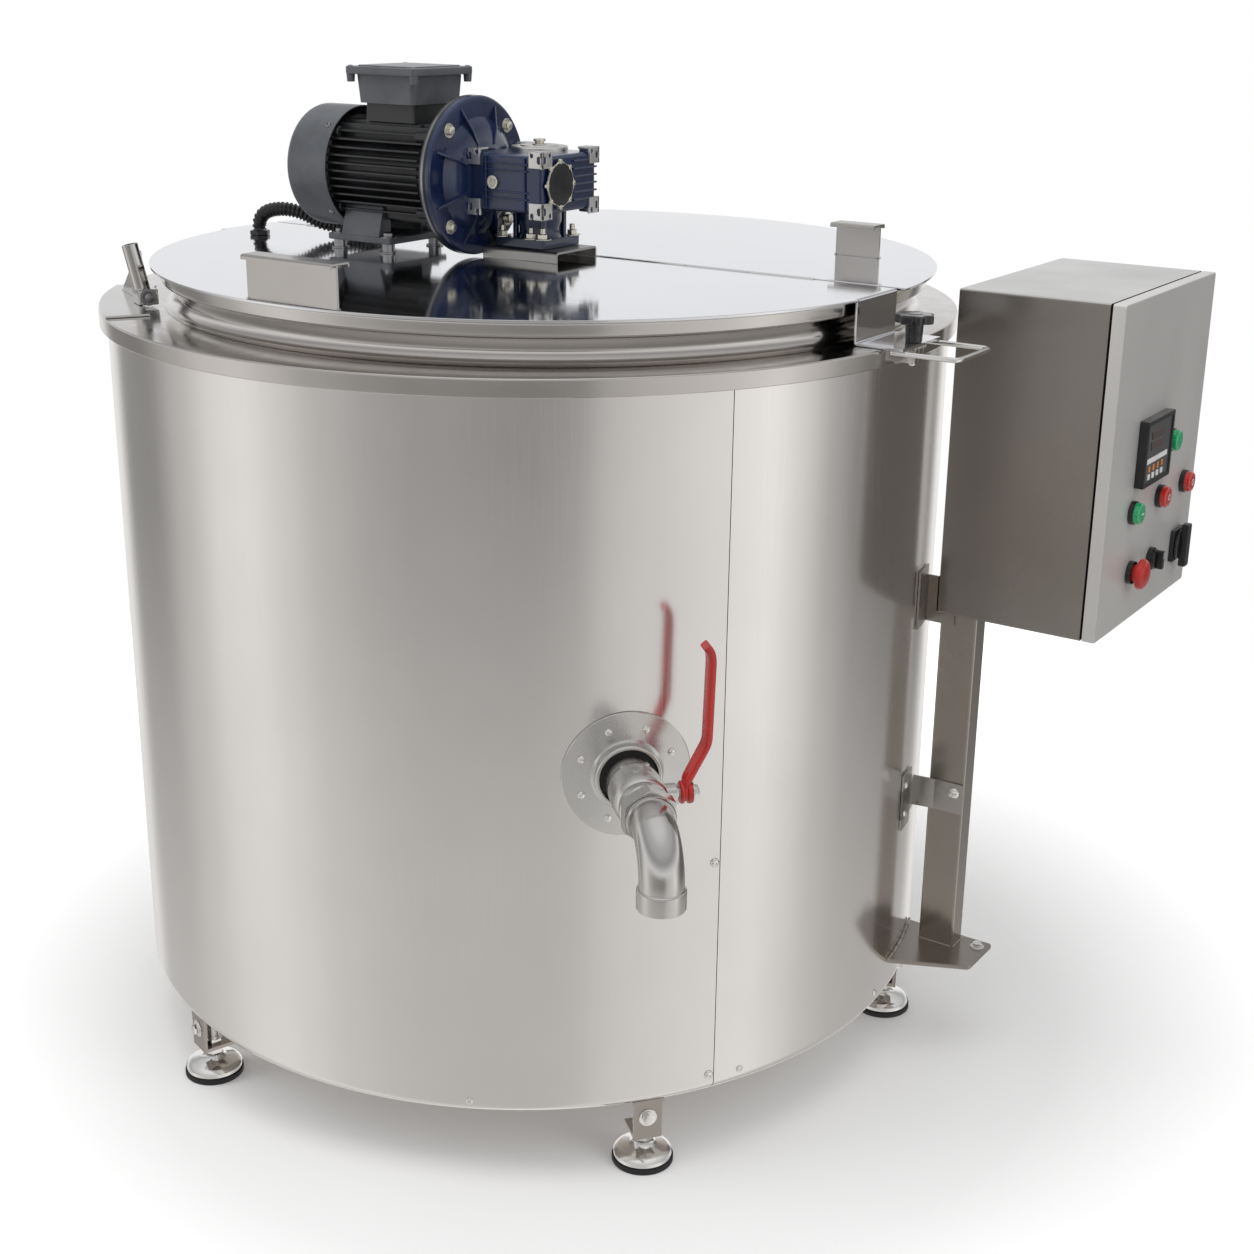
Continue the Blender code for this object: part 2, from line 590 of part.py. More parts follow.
def build_column():
    x0, y0 = COLUMN_LOW
    x1, y1 = COLUMN_HIGH
    wall = 0.0025
    top = CABINET_LOW[2] - GAP
    tube = block("column", (x0, y0, COLUMN_BASE_TOP - 0.001), (x1, y1, top), STEEL)
    foot = sheet("column_foot", [(0.500, 0.056), (0.636, 0.102), (0.636, 0.176),
                                 (0.500, 0.176)], 0.006, place=lying(COLUMN_BASE_TOP - 0.003))
    stay_x = CABINET_LOW[0] - GAP
    stay = block("stay", (0.500, y0 - 0.0030, 0.602), (stay_x, y0 + 0.0005, 0.664))
    stay_foot = block("stay_foot", (stay_x - 0.001, y0 - 0.0030, 0.602),
                      (x0 + 0.020, y0 + 0.0005, top))
    stay_end = block("stay_end", (stay_x - 0.003, y0 - 0.0030, 0.6175), (stay_x, 0.165, 0.664))
    stay_flange = sheet("stay_flange", ring_sector(0.535, SHELL_R + 0.0033, 9.6, 14.6), 0.076,
                        place=lying(0.641))
    join(tube, foot, stay, stay_foot, stay_end, stay_flange)
    cut(tube, block("column_hollow", (x0 + wall, y0 + wall, 0.10), (x1 - wall, y1 - wall, 0.65)),
        round_bar("column_gap", (0, 0, 0.10), (0, 0, 0.80), SHELL_R + GAP, sides=180))

    strap = block("column_bracket", (0.500, y0 - 0.0033, 0.345), (x1, y0 - GAP, 0.387), STEEL)
    join(strap, sheet("strap_flange", ring_sector(0.535, SHELL_R + 0.0033, 7.8, 14.6),
                      0.078, place=lying(0.369)))
    cut(strap, round_bar("strap_gap", (0, 0, 0.30), (0, 0, 0.45), SHELL_R + GAP, sides=180))


def door_place(across, up):
    """A point of the door, from its near edge and its bottom edge."""
    return CABINET_LOW[1] + across, CABINET_LOW[2] + up


LAMP_AT = door_place(0.211, 0.216)
BUTTONS = {"start_button": (door_place(0.091, 0.1465), GREEN),
           "stop_button": (door_place(0.190, 0.1465), RED),
           "reset_button": (door_place(0.284, 0.1465), RED)}
ESTOP_AT = door_place(0.105, 0.066)
SELECTOR_AT = door_place(0.180, 0.066)
MAIN_AT = door_place(0.280, 0.062)


def build_cabinet():
    t = CABINET_SHEET
    body = block("cabinet_body", CABINET_LOW, CABINET_HIGH, STEEL)
    cut(body, block("cabinet_hollow", [c + t for c in CABINET_LOW],
                    (CABINET_HIGH[0] + 0.01, CABINET_HIGH[1] - t, CABINET_HIGH[2] - t)))
    panel = block("mounting_plate", (0.553, 0.160, 0.650), (0.555, 0.410, 0.990), STEEL)
    join(panel,
         block("breaker_row", (0.554, 0.190, 0.860), (0.615, 0.360, 0.940)),
         block("contactor_row", (0.554, 0.190, 0.740), (0.630, 0.330, 0.815)),
         block("terminal_row", (0.554, 0.180, 0.675), (0.600, 0.390, 0.715)))

    low = (DOOR_BACK, CABINET_LOW[1], CABINET_LOW[2])
    high = (DOOR_FRONT, CABINET_HIGH[1], CABINET_HIGH[2])
    door = block("cabinet_door", low, high, STEEL)
    cut(door, block("door_hollow", (DOOR_BACK - 0.01, low[1] + t, low[2] + t),
                    (DOOR_FRONT - t, high[1] - t, high[2] - t)))
    holes = [at for at, paint in BUTTONS.values()] + [ESTOP_AT, SELECTOR_AT, MAIN_AT]
    for y, z in holes:
        join(door, round_bar("bezel", (DOOR_FRONT - 0.001, y, z), (BEZEL_FRONT, y, z), BEZEL_R))
    for (y, z), paint in BUTTONS.values():
        cut(door, round_bar("head_room", (DOOR_FRONT, y, z), (0.80, y, z), HEAD_R + GAP))
    for y, z in holes + [LAMP_AT]:
        cut(door, round_bar("control_hole", (0.72, y, z), (0.80, y, z), CONTROL_R + 0.0005))
    carry(door, door_axis)
    build_controls(door)


def build_controls(door):
    front = DOOR_FRONT + GAP
    cy, cz = door_place(0.138, 0.219)
    controller = block("controller", (front, cy - 0.049, cz - 0.042),
                       (front + 0.0117, cy + 0.049, cz + 0.042), BLACK)
    join(controller, block("controller_back", (0.704, cy - 0.043, cz - 0.036),
                           (front + 0.001, cy + 0.043, cz + 0.036)))
    cut(door, block("controller_hole", (0.736, cy - 0.0435, cz - 0.0365),
                    (0.780, cy + 0.0435, cz + 0.0365)))
    y, z = LAMP_AT
    lamp = round_bar("indicator_lamp", (0.738, y, z), (front + 0.001, y, z), CONTROL_R, GREEN)
    join(lamp, round_bar("lamp_head", (front, y, z), (front + 0.0145, y, z), HEAD_R))
    for piece in (controller, lamp):
        carry(piece, door_axis)

    for name, ((y, z), paint) in BUTTONS.items():
        spot = empty(name + "_axis", (DOOR_FRONT, y, z), parent=tank_axis)
        button = round_bar(name, (0.743, y, z), (DOOR_FRONT + 0.0055, y, z), CONTROL_R, paint)
        join(button, round_bar("button_head", (DOOR_FRONT + 0.0045, y, z),
                               (DOOR_FRONT + 0.0145, y, z), HEAD_R))
        carry(button, spot)

    y, z = ESTOP_AT
    stop = round_bar("emergency_stop", (0.743, y, z), (DOOR_FRONT + 0.014, y, z), 0.0095, RED)
    join(stop, round_bar("mushroom", (DOOR_FRONT + 0.0122, y, z), (DOOR_FRONT + 0.0190, y, z),
                         0.0195, sides=32),
         round_bar("mushroom_top", (DOOR_FRONT + 0.0185, y, z), (ESTOP_FRONT, y, z),
                   0.0195, end_radius=0.0150, sides=32))
    carry(stop, empty("emergency_stop_axis", (DOOR_FRONT, y, z), parent=tank_axis))

    y, z = SELECTOR_AT
    knob = round_bar("selector_switch", (BEZEL_FRONT + GAP, y, z), (BEZEL_FRONT + 0.0045, y, z),
                     0.0130, BLACK)
    join(knob,
         block("selector_grip", (BEZEL_FRONT + 0.0035, y - 0.0045, z - 0.0125),
               (BEZEL_FRONT + 0.0125, y + 0.0045, z + 0.0125)),
         round_bar("selector_stem", (0.743, y, z), (BEZEL_FRONT + 0.001, y, z), 0.0095))
    carry(knob, empty("selector_axis", (DOOR_FRONT, y, z), parent=tank_axis))

    y, z = MAIN_AT
    handle = round_bar("main_switch", (BEZEL_FRONT + GAP, y, z), (BEZEL_FRONT + 0.0040, y, z),
                       0.0200, BLACK, sides=32)
    join(handle,
         block("main_grip", (BEZEL_FRONT + 0.0030, y - 0.0085, z - 0.0290),
               (BEZEL_FRONT + 0.0125, y + 0.0085, z + 0.0290)),
         round_bar("main_stem", (0.743, y, z), (BEZEL_FRONT + 0.001, y, z), 0.0095))
    carry(handle, empty("main_switch_axis", (DOOR_FRONT, y, z), parent=tank_axis))


# ---------------------------------------------------------------- lid

def lid_disc(name, paint=None):
    return turned(name, [(0, LID_TOP), (LID_R, LID_TOP), (LID_R, LID_BOTTOM), (0, LID_BOTTOM)],
                  paint, vessel_axis, sides=72)


def carry_from_vessel(piece, axis):
    """Like carry, for a piece that is modelled around the vessel axis."""
    carry(piece, axis)
    offset = Matrix.Translation((VESSEL_X, VESSEL_Y, 0.0))
    piece.matrix_parent_inverse = piece.matrix_parent_inverse @ offset
    return piece


def build_front_lid():
    """The larger lid plate, with the folded tongue, the hinge arm and the drive's openings."""
    front_edge = SEAM_Y - SEAM_HALF
    tongue_y = (TONGUE_Y - TONGUE_WIDTH / 2, TONGUE_Y + TONGUE_WIDTH / 2)
    foot = RIM_TOP + 0.0005
    lid = lid_disc("front_lid", STEEL)
    cut(lid,
        block("rear_half", (-0.6, front_edge, 1.0), (0.6, 0.6, 1.1)),
        block("tongue_side", (TONGUE_X + LID_SHEET, tongue_y[0] - 0.0005, 1.0),
              (0.6, tongue_y[1] + 0.001, 1.1)))
    fold = [(TONGUE_X - 0.010, LID_TOP), (TONGUE_X - 0.010, LID_BOTTOM), (TONGUE_X, LID_BOTTOM),
            (TONGUE_X, foot), (TONGUE_END, foot), (TONGUE_END, foot + LID_SHEET),
            (TONGUE_X + LID_SHEET, foot + LID_SHEET), (TONGUE_X + LID_SHEET, LID_TOP)]
    join(lid,
         sheet("tongue", fold, TONGUE_WIDTH, place=facing_y(TONGUE_Y)),
         block("hinge_arm", (HINGE_X - 0.003, -0.060, LID_BOTTOM - 0.006),
               (-0.473, 0.010, LID_BOTTOM + 0.0005)),
         round_bar("hinge_barrel", (HINGE_X, -0.064, HINGE_Z), (HINGE_X, 0.014, HINGE_Z),
                   0.0062, sides=20),
         round_bar("lid_gland", (CONDUIT_END[0], CONDUIT_END[1], LID_BOTTOM + 0.001),
                   (CONDUIT_END[0], CONDUIT_END[1], CONDUIT_END[2] - 0.001), 0.0125, sides=6))
    cut(lid,
        round_bar("stud_hole", (KNOB_X, TONGUE_Y, 0.9), (KNOB_X, TONGUE_Y, 1.0), 0.0052,
                  sides=16),
        round_bar("shaft_hole", (DRIVE_X, DRIVE_Y, 1.0), (DRIVE_X, DRIVE_Y, 1.1), 0.0165),
        round_bar("hinge_bore", (HINGE_X, -0.1, HINGE_Z), (HINGE_X, 0.1, HINGE_Z), 0.0036,
                  sides=16))
    carry_from_vessel(lid, lid_axis)

    carry(lid_handle("front_handle", (-0.030, 0.102), -0.4865, 0.050, (-0.010, 0.020)), lid_axis)

    wire_z, end_x, corner = foot - 0.0035, 0.634, 0.008
    near, far = tongue_y[0] + 0.006, tongue_y[1] - 0.0035
    route = [(0.553, near, wire_z)]
    route += [(end_x - corner + corner * sin(radians(a)), near + corner - corner * cos(radians(a)),
               wire_z) for a in (0, 30, 60, 90)]
    route += [(end_x - corner + corner * cos(radians(a)), far - corner + corner * sin(radians(a)),
               wire_z) for a in (0, 30, 60, 90)]
    route += [(0.553, far, wire_z)]
    carry(rod("wire_handle", route, 0.003, POLISHED), lid_axis)


def lid_handle(name, span, y, height, lip):
    """An upright plate on the lid with a lip along its top, turned down at its ends."""
    low = LID_TOP + GAP
    top = LID_TOP + height
    plate = block(name, (span[0], y - 0.0015, low), (span[1], y + 0.0015, top), STEEL)
    fold = ribbon([(y + lip[0] + 0.0015, top - 0.0060), (y + lip[0] + 0.0015, top - 0.0015),
                   (y + lip[1] - 0.0015, top - 0.0015), (y + lip[1] - 0.0015, top - 0.0060)], 0.003)
    centre = (span[0] + span[1]) / 2
    join(plate, sheet(name + "_lip", fold, span[1] - span[0], place=facing_x(centre)))
    return plate


def build_clamp_knob():
    seat = RIM_TOP + 0.0005 + LID_SHEET + GAP
    lobes = 7
    outline = []
    for i in range(lobes * 6):
        turn = 2 * pi * i / (lobes * 6)
        reach = 0.0215 + 0.0018 * cos(lobes * turn)
        outline.append((KNOB_X + reach * cos(turn), TONGUE_Y + reach * sin(turn)))
    knob = sheet("clamp_knob", outline, 0.011, BLACK, place=lying(seat + 0.0265))
    join(knob,
         round_bar("knob_neck", (KNOB_X, TONGUE_Y, seat), (KNOB_X, TONGUE_Y, seat + 0.022),
                   0.0105),
         round_bar("knob_stud", (KNOB_X, TONGUE_Y, 0.962), (KNOB_X, TONGUE_Y, seat + 0.002),
                   0.0040, sides=16))
    carry(knob, knob_axis)


def flap_knuckles(first):
    """Every second knuckle of the long flap hinge, as (start, end) along X."""
    start, length, count = -0.420, 0.0911, 9
    return [(start + length * i + 0.0005, start + length * (i + 1) - 0.0005)
            for i in range(first, count, 2)]


def build_flap():
    """The rear lid plate, which lifts on a hinge along the seam."""
    rear_edge = SEAM_Y + SEAM_HALF
    leaf_low, leaf_high = LID_BOTTOM - 0.0014, LID_BOTTOM - GAP
    flap = lid_disc("rear_lid", STEEL)
    cut(flap, block("front_half", (-0.6, -0.6, 1.0), (0.6, rear_edge, 1.1)))
    join(flap, block("rear_leaf", (-0.420, rear_edge + 0.0015, leaf_low),
                     (0.400, rear_edge + 0.020, LID_BOTTOM + 0.0005)))
    for start, end in flap_knuckles(1):
        join(flap,
             block("rear_tab", (start, SEAM_Y - 0.0008, leaf_low),
                   (end, rear_edge + 0.002, leaf_high)),
             round_bar("rear_knuckle", (start, SEAM_Y, FLAP_AXIS_Z), (end, SEAM_Y, FLAP_AXIS_Z),
                       0.0026, sides=16))
    cut(flap, round_bar("pin_bore", (-0.45, SEAM_Y, FLAP_AXIS_Z), (0.45, SEAM_Y, FLAP_AXIS_Z),
                        0.0014, sides=12))
    carry_from_vessel(flap, flap_axis)

    hinge = block("flap_hinge", (-0.420, SEAM_Y - 0.022, leaf_low),
                  (0.400, SEAM_Y - 0.0045, leaf_high), STEEL)
    join(hinge, round_bar("hinge_pin", (-0.4195, SEAM_Y, FLAP_AXIS_Z),
                          (0.3995, SEAM_Y, FLAP_AXIS_Z), 0.0010, sides=12))
    for start, end in flap_knuckles(0):
        join(hinge,
             block("front_tab", (start, SEAM_Y - 0.005, leaf_low),
                   (end, SEAM_Y + 0.0008, leaf_high)),
             round_bar("front_knuckle", (start, SEAM_Y, FLAP_AXIS_Z), (end, SEAM_Y, FLAP_AXIS_Z),
                       0.0026, sides=16))
    carry(hinge, lid_axis)
    carry(lid_handle("rear_handle", (0.317, 0.380), 0.240, 0.043, (-0.020, 0.012)), flap_axis)


def build_lid_hinge():
    """Two cheeks and a pin on the rim that the lid's barrel turns on."""
    low = RIM_TOP + GAP
    y0, y1 = -0.0705, 0.0205
    hinge = block("lid_hinge", (-0.543, y0, low), (-0.487, y1, low + 0.004), STEEL)
    for a, b in ((y0, y0 + 0.005), (y1 - 0.005, y1)):
        join(hinge,
             block("cheek", (HINGE_X - 0.014, a, low + 0.003), (HINGE_X + 0.007, b, HINGE_Z)),
             round_bar("cheek_round", (HINGE_X, a, HINGE_Z), (HINGE_X, b, HINGE_Z), 0.0068,
                       sides=20))
    join(hinge, round_bar("lid_pin", (HINGE_X, y0 + 0.001, HINGE_Z),
                          (HINGE_X, y1 - 0.001, HINGE_Z), 0.0031, sides=16))


# ---------------------------------------------------------------- drive and agitator

def build_drive():
    channel = block("drive_channel", (*CHANNEL_LOW, LID_TOP + GAP), (*CHANNEL_HIGH, CHANNEL_TOP),
                    STEEL)
    cut(channel,
        block("channel_hollow", (CHANNEL_LOW[0] - 0.01, CHANNEL_LOW[1] + 0.003, LID_TOP - 0.01),
              (CHANNEL_HIGH[0] + 0.01, CHANNEL_HIGH[1] - 0.003, CHANNEL_TOP - 0.003)),
        round_bar("channel_hole", (DRIVE_X, DRIVE_Y, 1.0), (DRIVE_X, DRIVE_Y, 1.1), 0.0165))
    carry(channel, lid_axis)
    build_gearbox()
    build_motor()


def build_gearbox():
    foot = CHANNEL_TOP + GAP
    box = block("gearbox_housing", GEAR_LOW, GEAR_HIGH, NAVY)
    join(box,
         round_bar("output_neck", (DRIVE_X, DRIVE_Y, foot + 0.005),
                   (DRIVE_X, DRIVE_Y, GEAR_LOW[2] + 0.001), 0.029, sides=32),
         block("output_foot", (*BASE_LOW, foot), (*BASE_HIGH, foot + 0.012)),
         round_bar("input_cone", (FLANGE_FACE + 0.006, WORM_Y, WORM_Z),
                   (GEAR_LOW[0] + 0.0005, WORM_Y, WORM_Z), 0.072, end_radius=0.040,
                   sides=36),
         round_bar("input_flange", (FLANGE_FACE, WORM_Y, WORM_Z),
                   (FLANGE_FACE + 0.008, WORM_Y, WORM_Z), FLANGE_R, sides=48),
         round_bar("worm_cap", (GEAR_HIGH[0] - 0.0005, WORM_Y, WORM_Z),
                   (GEAR_HIGH[0] + 0.0030, WORM_Y, WORM_Z), 0.0290, sides=32),
         round_bar("breather", (DRIVE_X, DRIVE_Y, GEAR_HIGH[2] - 0.001),
                   (DRIVE_X, DRIVE_Y, GEAR_HIGH[2] + 0.0095), 0.0085, sides=6))
    cut(box,
        round_bar("wheel_room", (DRIVE_X, DRIVE_Y, WORM_Z - 0.018),
                  (DRIVE_X, DRIVE_Y, WORM_Z + 0.018), 0.0360, sides=36),
        round_bar("worm_room", (FLANGE_FACE - 0.01, WORM_Y, WORM_Z),
                  (DRIVE_X + 0.054, WORM_Y, WORM_Z), 0.0145, sides=24),
        round_bar("output_bore", (DRIVE_X, DRIVE_Y, 1.0), (DRIVE_X, DRIVE_Y, WORM_Z + 0.030),
                  SHAFT_R + 0.001))
    carry(box, lid_axis)

    wheel = round_bar("worm_wheel", (DRIVE_X, DRIVE_Y, WORM_Z - 0.012),
                      (DRIVE_X, DRIVE_Y, WORM_Z + 0.012), 0.0330, BRONZE, sides=50)
    cut(wheel, round_bar("wheel_bore", (DRIVE_X, DRIVE_Y, WORM_Z - 0.02),
                         (DRIVE_X, DRIVE_Y, WORM_Z + 0.02), SHAFT_R + GAP))
    carry(wheel, agitator_axis)
    worm = round_bar("worm", (FLANGE_FACE - 0.0015, WORM_Y, WORM_Z),
                     (DRIVE_X + 0.050, WORM_Y, WORM_Z), 0.0095, DARK_STEEL, sides=20)
    join(worm, round_bar("worm_thread", (DRIVE_X - 0.025, WORM_Y, WORM_Z),
                         (DRIVE_X + 0.025, WORM_Y, WORM_Z), 0.0113))
    carry(worm, worm_axis)


def build_motor():
    back = FLANGE_FACE - GAP
    body = round_bar("motor_body", (MOTOR_END, WORM_Y, WORM_Z), (back - 0.006, WORM_Y, WORM_Z),
                     MOTOR_R, MOTOR_GREY, sides=40)
    foot_x = (FLANGE_FACE - 0.198, FLANGE_FACE - 0.092)
    foot_low = LID_TOP + 0.012
    legs = [(WORM_Y - 0.030, 1.100), (WORM_Y - 0.052, foot_low + 0.002),
            (WORM_Y + 0.052, foot_low + 0.002), (WORM_Y + 0.030, 1.100)]
    join(body,
         round_bar("motor_flange", (back - 0.009, WORM_Y, WORM_Z), (back, WORM_Y, WORM_Z),
                   FLANGE_R, sides=48),
         sheet("motor_legs", legs, 0.066, place=facing_x(FLANGE_FACE - 0.145)),
         block("motor_foot", (foot_x[0], WORM_Y - 0.058, foot_low),
               (foot_x[1], WORM_Y + 0.058, foot_low + 0.008)))
    for x in (foot_x[0] + 0.012, foot_x[1] - 0.012):
        for y in (WORM_Y - 0.047, WORM_Y + 0.047):
            join(body, round_bar("spacer", (x, y, LID_TOP + GAP), (x, y, foot_low + 0.001),
                                 0.009, sides=16))
    cut(body,
        round_bar("stator_bore", (MOTOR_END + 0.020, WORM_Y, WORM_Z),
                  (FLANGE_FACE - 0.022, WORM_Y, WORM_Z), 0.0410, sides=32),
        round_bar("shaft_bore", (MOTOR_END - 0.02, WORM_Y, WORM_Z),
                  (FLANGE_FACE + 0.02, WORM_Y, WORM_Z), 0.0115, sides=20))
    carry(body, lid_axis)

    rotor = round_bar("motor_rotor", (COVER_END + 0.020, WORM_Y, WORM_Z),
                      (FLANGE_FACE - 0.0020, WORM_Y, WORM_Z), 0.0090, DARK_STEEL, sides=20)
    join(rotor, round_bar("rotor_core", (MOTOR_END + 0.025, WORM_Y, WORM_Z),
                          (FLANGE_FACE - 0.028, WORM_Y, WORM_Z), 0.0385, sides=32))
    carry(rotor, worm_axis)

    fan = round_bar("motor_fan", (MOTOR_END - 0.0240, WORM_Y, WORM_Z),
                    (MOTOR_END - 0.0060, WORM_Y, WORM_Z), 0.018, BLACK)
    for i in range(6):
        turn = Matrix.Translation((0, WORM_Y, WORM_Z)) @ Matrix.Rotation(pi * i / 3, 4, "X")
        blade = block("fan_blade", (MOTOR_END - 0.0240, -0.0015, 0.015),
                      (MOTOR_END - 0.0080, 0.0015, 0.058))
        blade.matrix_basis = turn
        join(fan, blade)
    cut(fan, round_bar("fan_bore", (MOTOR_END - 0.05, WORM_Y, WORM_Z),
                       (MOTOR_END, WORM_Y, WORM_Z), 0.0093, sides=20))
    carry(fan, worm_axis)
    build_motor_covers()


def build_motor_covers():
    sheet_t = 0.0015
    cover_start = MOTOR_END + 0.020
    cover = round_bar("fan_cover", (COVER_END, WORM_Y, WORM_Z), (cover_start, WORM_Y, WORM_Z),
                      COVER_R, COVER_GREY, sides=36)
    cut(cover, round_bar("cover_hollow", (COVER_END + sheet_t, WORM_Y, WORM_Z),
                         (cover_start + 0.01, WORM_Y, WORM_Z), COVER_R - sheet_t, sides=36))
    for i in range(8):
        turn = 2 * pi * i / 8
        y, z = WORM_Y + 0.042 * cos(turn), WORM_Z + 0.042 * sin(turn)
        cut(cover, round_bar("vent", (COVER_END - 0.01, y, z), (COVER_END + 0.01, y, z), 0.011,
                             sides=12))
    carry(cover, lid_axis)

    middle = FLANGE_FACE - 0.101
    low = WORM_Z + MOTOR_R + GAP
    box = block("terminal_box", (middle - 0.041, WORM_Y - 0.041, low),
                (middle + 0.041, WORM_Y + 0.041, low + 0.0235), COVER_GREY)
    join(box,
         block("box_body", (middle - 0.0485, WORM_Y - 0.0500, low + 0.0225),
               (middle + 0.0485, WORM_Y + 0.0500, low + 0.0585)),
         block("box_lid", (middle - 0.0575, WORM_Y - 0.0595, low + 0.0575),
               (middle + 0.0575, WORM_Y + 0.0595, low + 0.0685)),
         round_bar("box_gland", (middle - 0.0285, WORM_Y + 0.049, low + 0.0335),
                   (middle - 0.0285, WORM_Y + 0.062, low + 0.0335), 0.0125, sides=20))
    carry(box, lid_axis)
    build_conduit((middle - 0.0285, WORM_Y + 0.062 + 0.001, low + 0.0335))


CONDUIT_R = 0.0095
CONDUIT_END = (-0.399, -0.089, LID_TOP + 0.0075)
CONDUIT_ROUTE = [(-0.1700, 0.0040, 1.2363), (-0.1715, 0.0110, 1.2315), (-0.175, 0.0145, 1.2200),
                 (-0.181, 0.0160, 1.1950), (-0.190, 0.0155, 1.1500), (-0.203, 0.0120, 1.1050),
                 (-0.225, 0.0060, 1.0730), (-0.258, -0.0050, 1.0560), (-0.292, -0.0260, 1.0520),
                 (-0.318, -0.0500, 1.0580), (-0.338, -0.0680, 1.0710), (-0.358, -0.0790, 1.0760),
                 (-0.378, -0.0860, 1.0740), (-0.392, -0.0885, 1.0670), (-0.399, -0.0890, 1.0560)]


def smooth_route(points, step):
    """Evenly spaced points on a smooth curve through the route's own points."""
    ends = [Vector(points[0]) * 2 - Vector(points[1]), Vector(points[-1]) * 2
            - Vector(points[-2])]
    guide = [ends[0]] + [Vector(p) for p in points] + [ends[1]]
    fine = []
    for a, b, c, d in zip(guide, guide[1:], guide[2:], guide[3:]):
        for i in range(8):
            t = i / 8
            fine.append(0.5 * (2 * b + (c - a) * t + (2 * a - 5 * b + 4 * c - d) * t * t
                               + (3 * b - a - 3 * c + d) * t ** 3))
    fine.append(guide[-2])
    count = round(sum((q - p).length for p, q in zip(fine, fine[1:])) / step)
    total = sum((q - p).length for p, q in zip(fine, fine[1:]))
    even, run, index = [fine[0]], 0.0, 0
    for i in range(1, count):
        target = total * i / count
        while run + (fine[index + 1] - fine[index]).length < target:
            run += (fine[index + 1] - fine[index]).length
            index += 1
        span = fine[index + 1] - fine[index]
        even.append(fine[index] + span * ((target - run) / span.length))
    return [tuple(p) for p in even + [fine[-1]]]


def build_conduit(gland_mouth):
    """Motor lead in a ribbed conduit, from the terminal box to a gland in the lid."""
    route = [gland_mouth] + smooth_route(CONDUIT_ROUTE, 0.016) + [CONDUIT_END]
    conduit = rod("conduit", route, CONDUIT_R, BLACK)
    carry(conduit, lid_axis)


def build_agitator():
    bottom = 0.640
    shaft = round_bar("agitator_shaft", (DRIVE_X, DRIVE_Y, bottom),
                      (DRIVE_X, DRIVE_Y, WORM_Z + 0.025), SHAFT_R, POLISHED)
    carry(shaft, agitator_axis)
    hub = round_bar("agitator_paddle", (DRIVE_X, DRIVE_Y, bottom + 0.002),
                    (DRIVE_X, DRIVE_Y, bottom + 0.100), 0.021, STEEL)
    join(hub, block("paddle_blade", (DRIVE_X - 0.200, DRIVE_Y - 0.002, bottom + 0.010),
                    (DRIVE_X + 0.200, DRIVE_Y + 0.002, bottom + 0.090)))
    cut(hub, round_bar("hub_hole", (DRIVE_X, DRIVE_Y, bottom - 0.01),
                       (DRIVE_X, DRIVE_Y, bottom + 0.12), SHAFT_R + GAP))
    carry(hub, agitator_axis)


# ---------------------------------------------------------------- post on the rim

def build_post():
    """A short tube on a rim plate, with a gusset and a clamp block at its foot."""
    low = RIM_TOP + GAP
    plate_t = 0.003
    foot = Vector((-0.323, -0.371, low + plate_t))
    head = Vector((-0.335, -0.380, 1.062))
    post = sheet("lid_post", ring_sector(0.496, 0.5485, -148, -122), plate_t, STEEL,
                 place=lying(low + plate_t / 2))
    along = Vector((-0.430 - foot.x, -0.313 - foot.y, 0.0)).normalized()
    side = along.cross(Vector((0, 0, 1)))
    upright = Matrix(((along.x, 0, side.x, foot.x), (along.y, 0, side.y, foot.y),
                      (0, 1, 0, foot.z), (0, 0, 0, 1)))
    gusset = sheet("post_gusset", [(0.0, -0.001), (0.115, -0.001), (0.100, 0.010),
                                   (0.004, 0.062), (-0.004, 0.060)], 0.003, place=upright)
    block_place = Matrix.Translation(foot) @ Matrix.Rotation(math.atan2(along.y, along.x), 4, "Z")
    clamp = block("post_clamp", (-0.016, -0.013, -0.001), (0.016, 0.013, 0.021))
    clamp.matrix_basis = block_place
    bolt = round_bar("post_bolt", (-0.022, 0.0, 0.011), (0.022, 0.0, 0.011), 0.006, sides=6)
    bolt.matrix_basis = block_place
    tube_foot = foot - (head - foot).normalized() * 0.001
    join(post, gusset, clamp, bolt, round_bar("post_tube", tube_foot, head, 0.0100))


build_shell()
build_base()
build_vessel()
build_rim()
build_jacket()
build_outlet()
build_column()
build_cabinet()
build_front_lid()
build_clamp_knob()
build_flap()
build_lid_hinge()
build_drive()
build_agitator()
build_post()
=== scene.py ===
"""Looks of the bulk milk tank: brushed and polished stainless skins, the geared drive with its
ribbed motor, the outlet's ball valve, and the control cabinet with its buttons.

Metres, +Z up.  Shapes are laid out around the axis of the outer shell, and put in the shared
frame by moving them to TANK_X.  +X runs from the lid hinge to the cabinet.
"""
import math
from math import atan2, cos, pi, radians, sin, sqrt

import bmesh
import bpy
from mathutils import Matrix, Vector


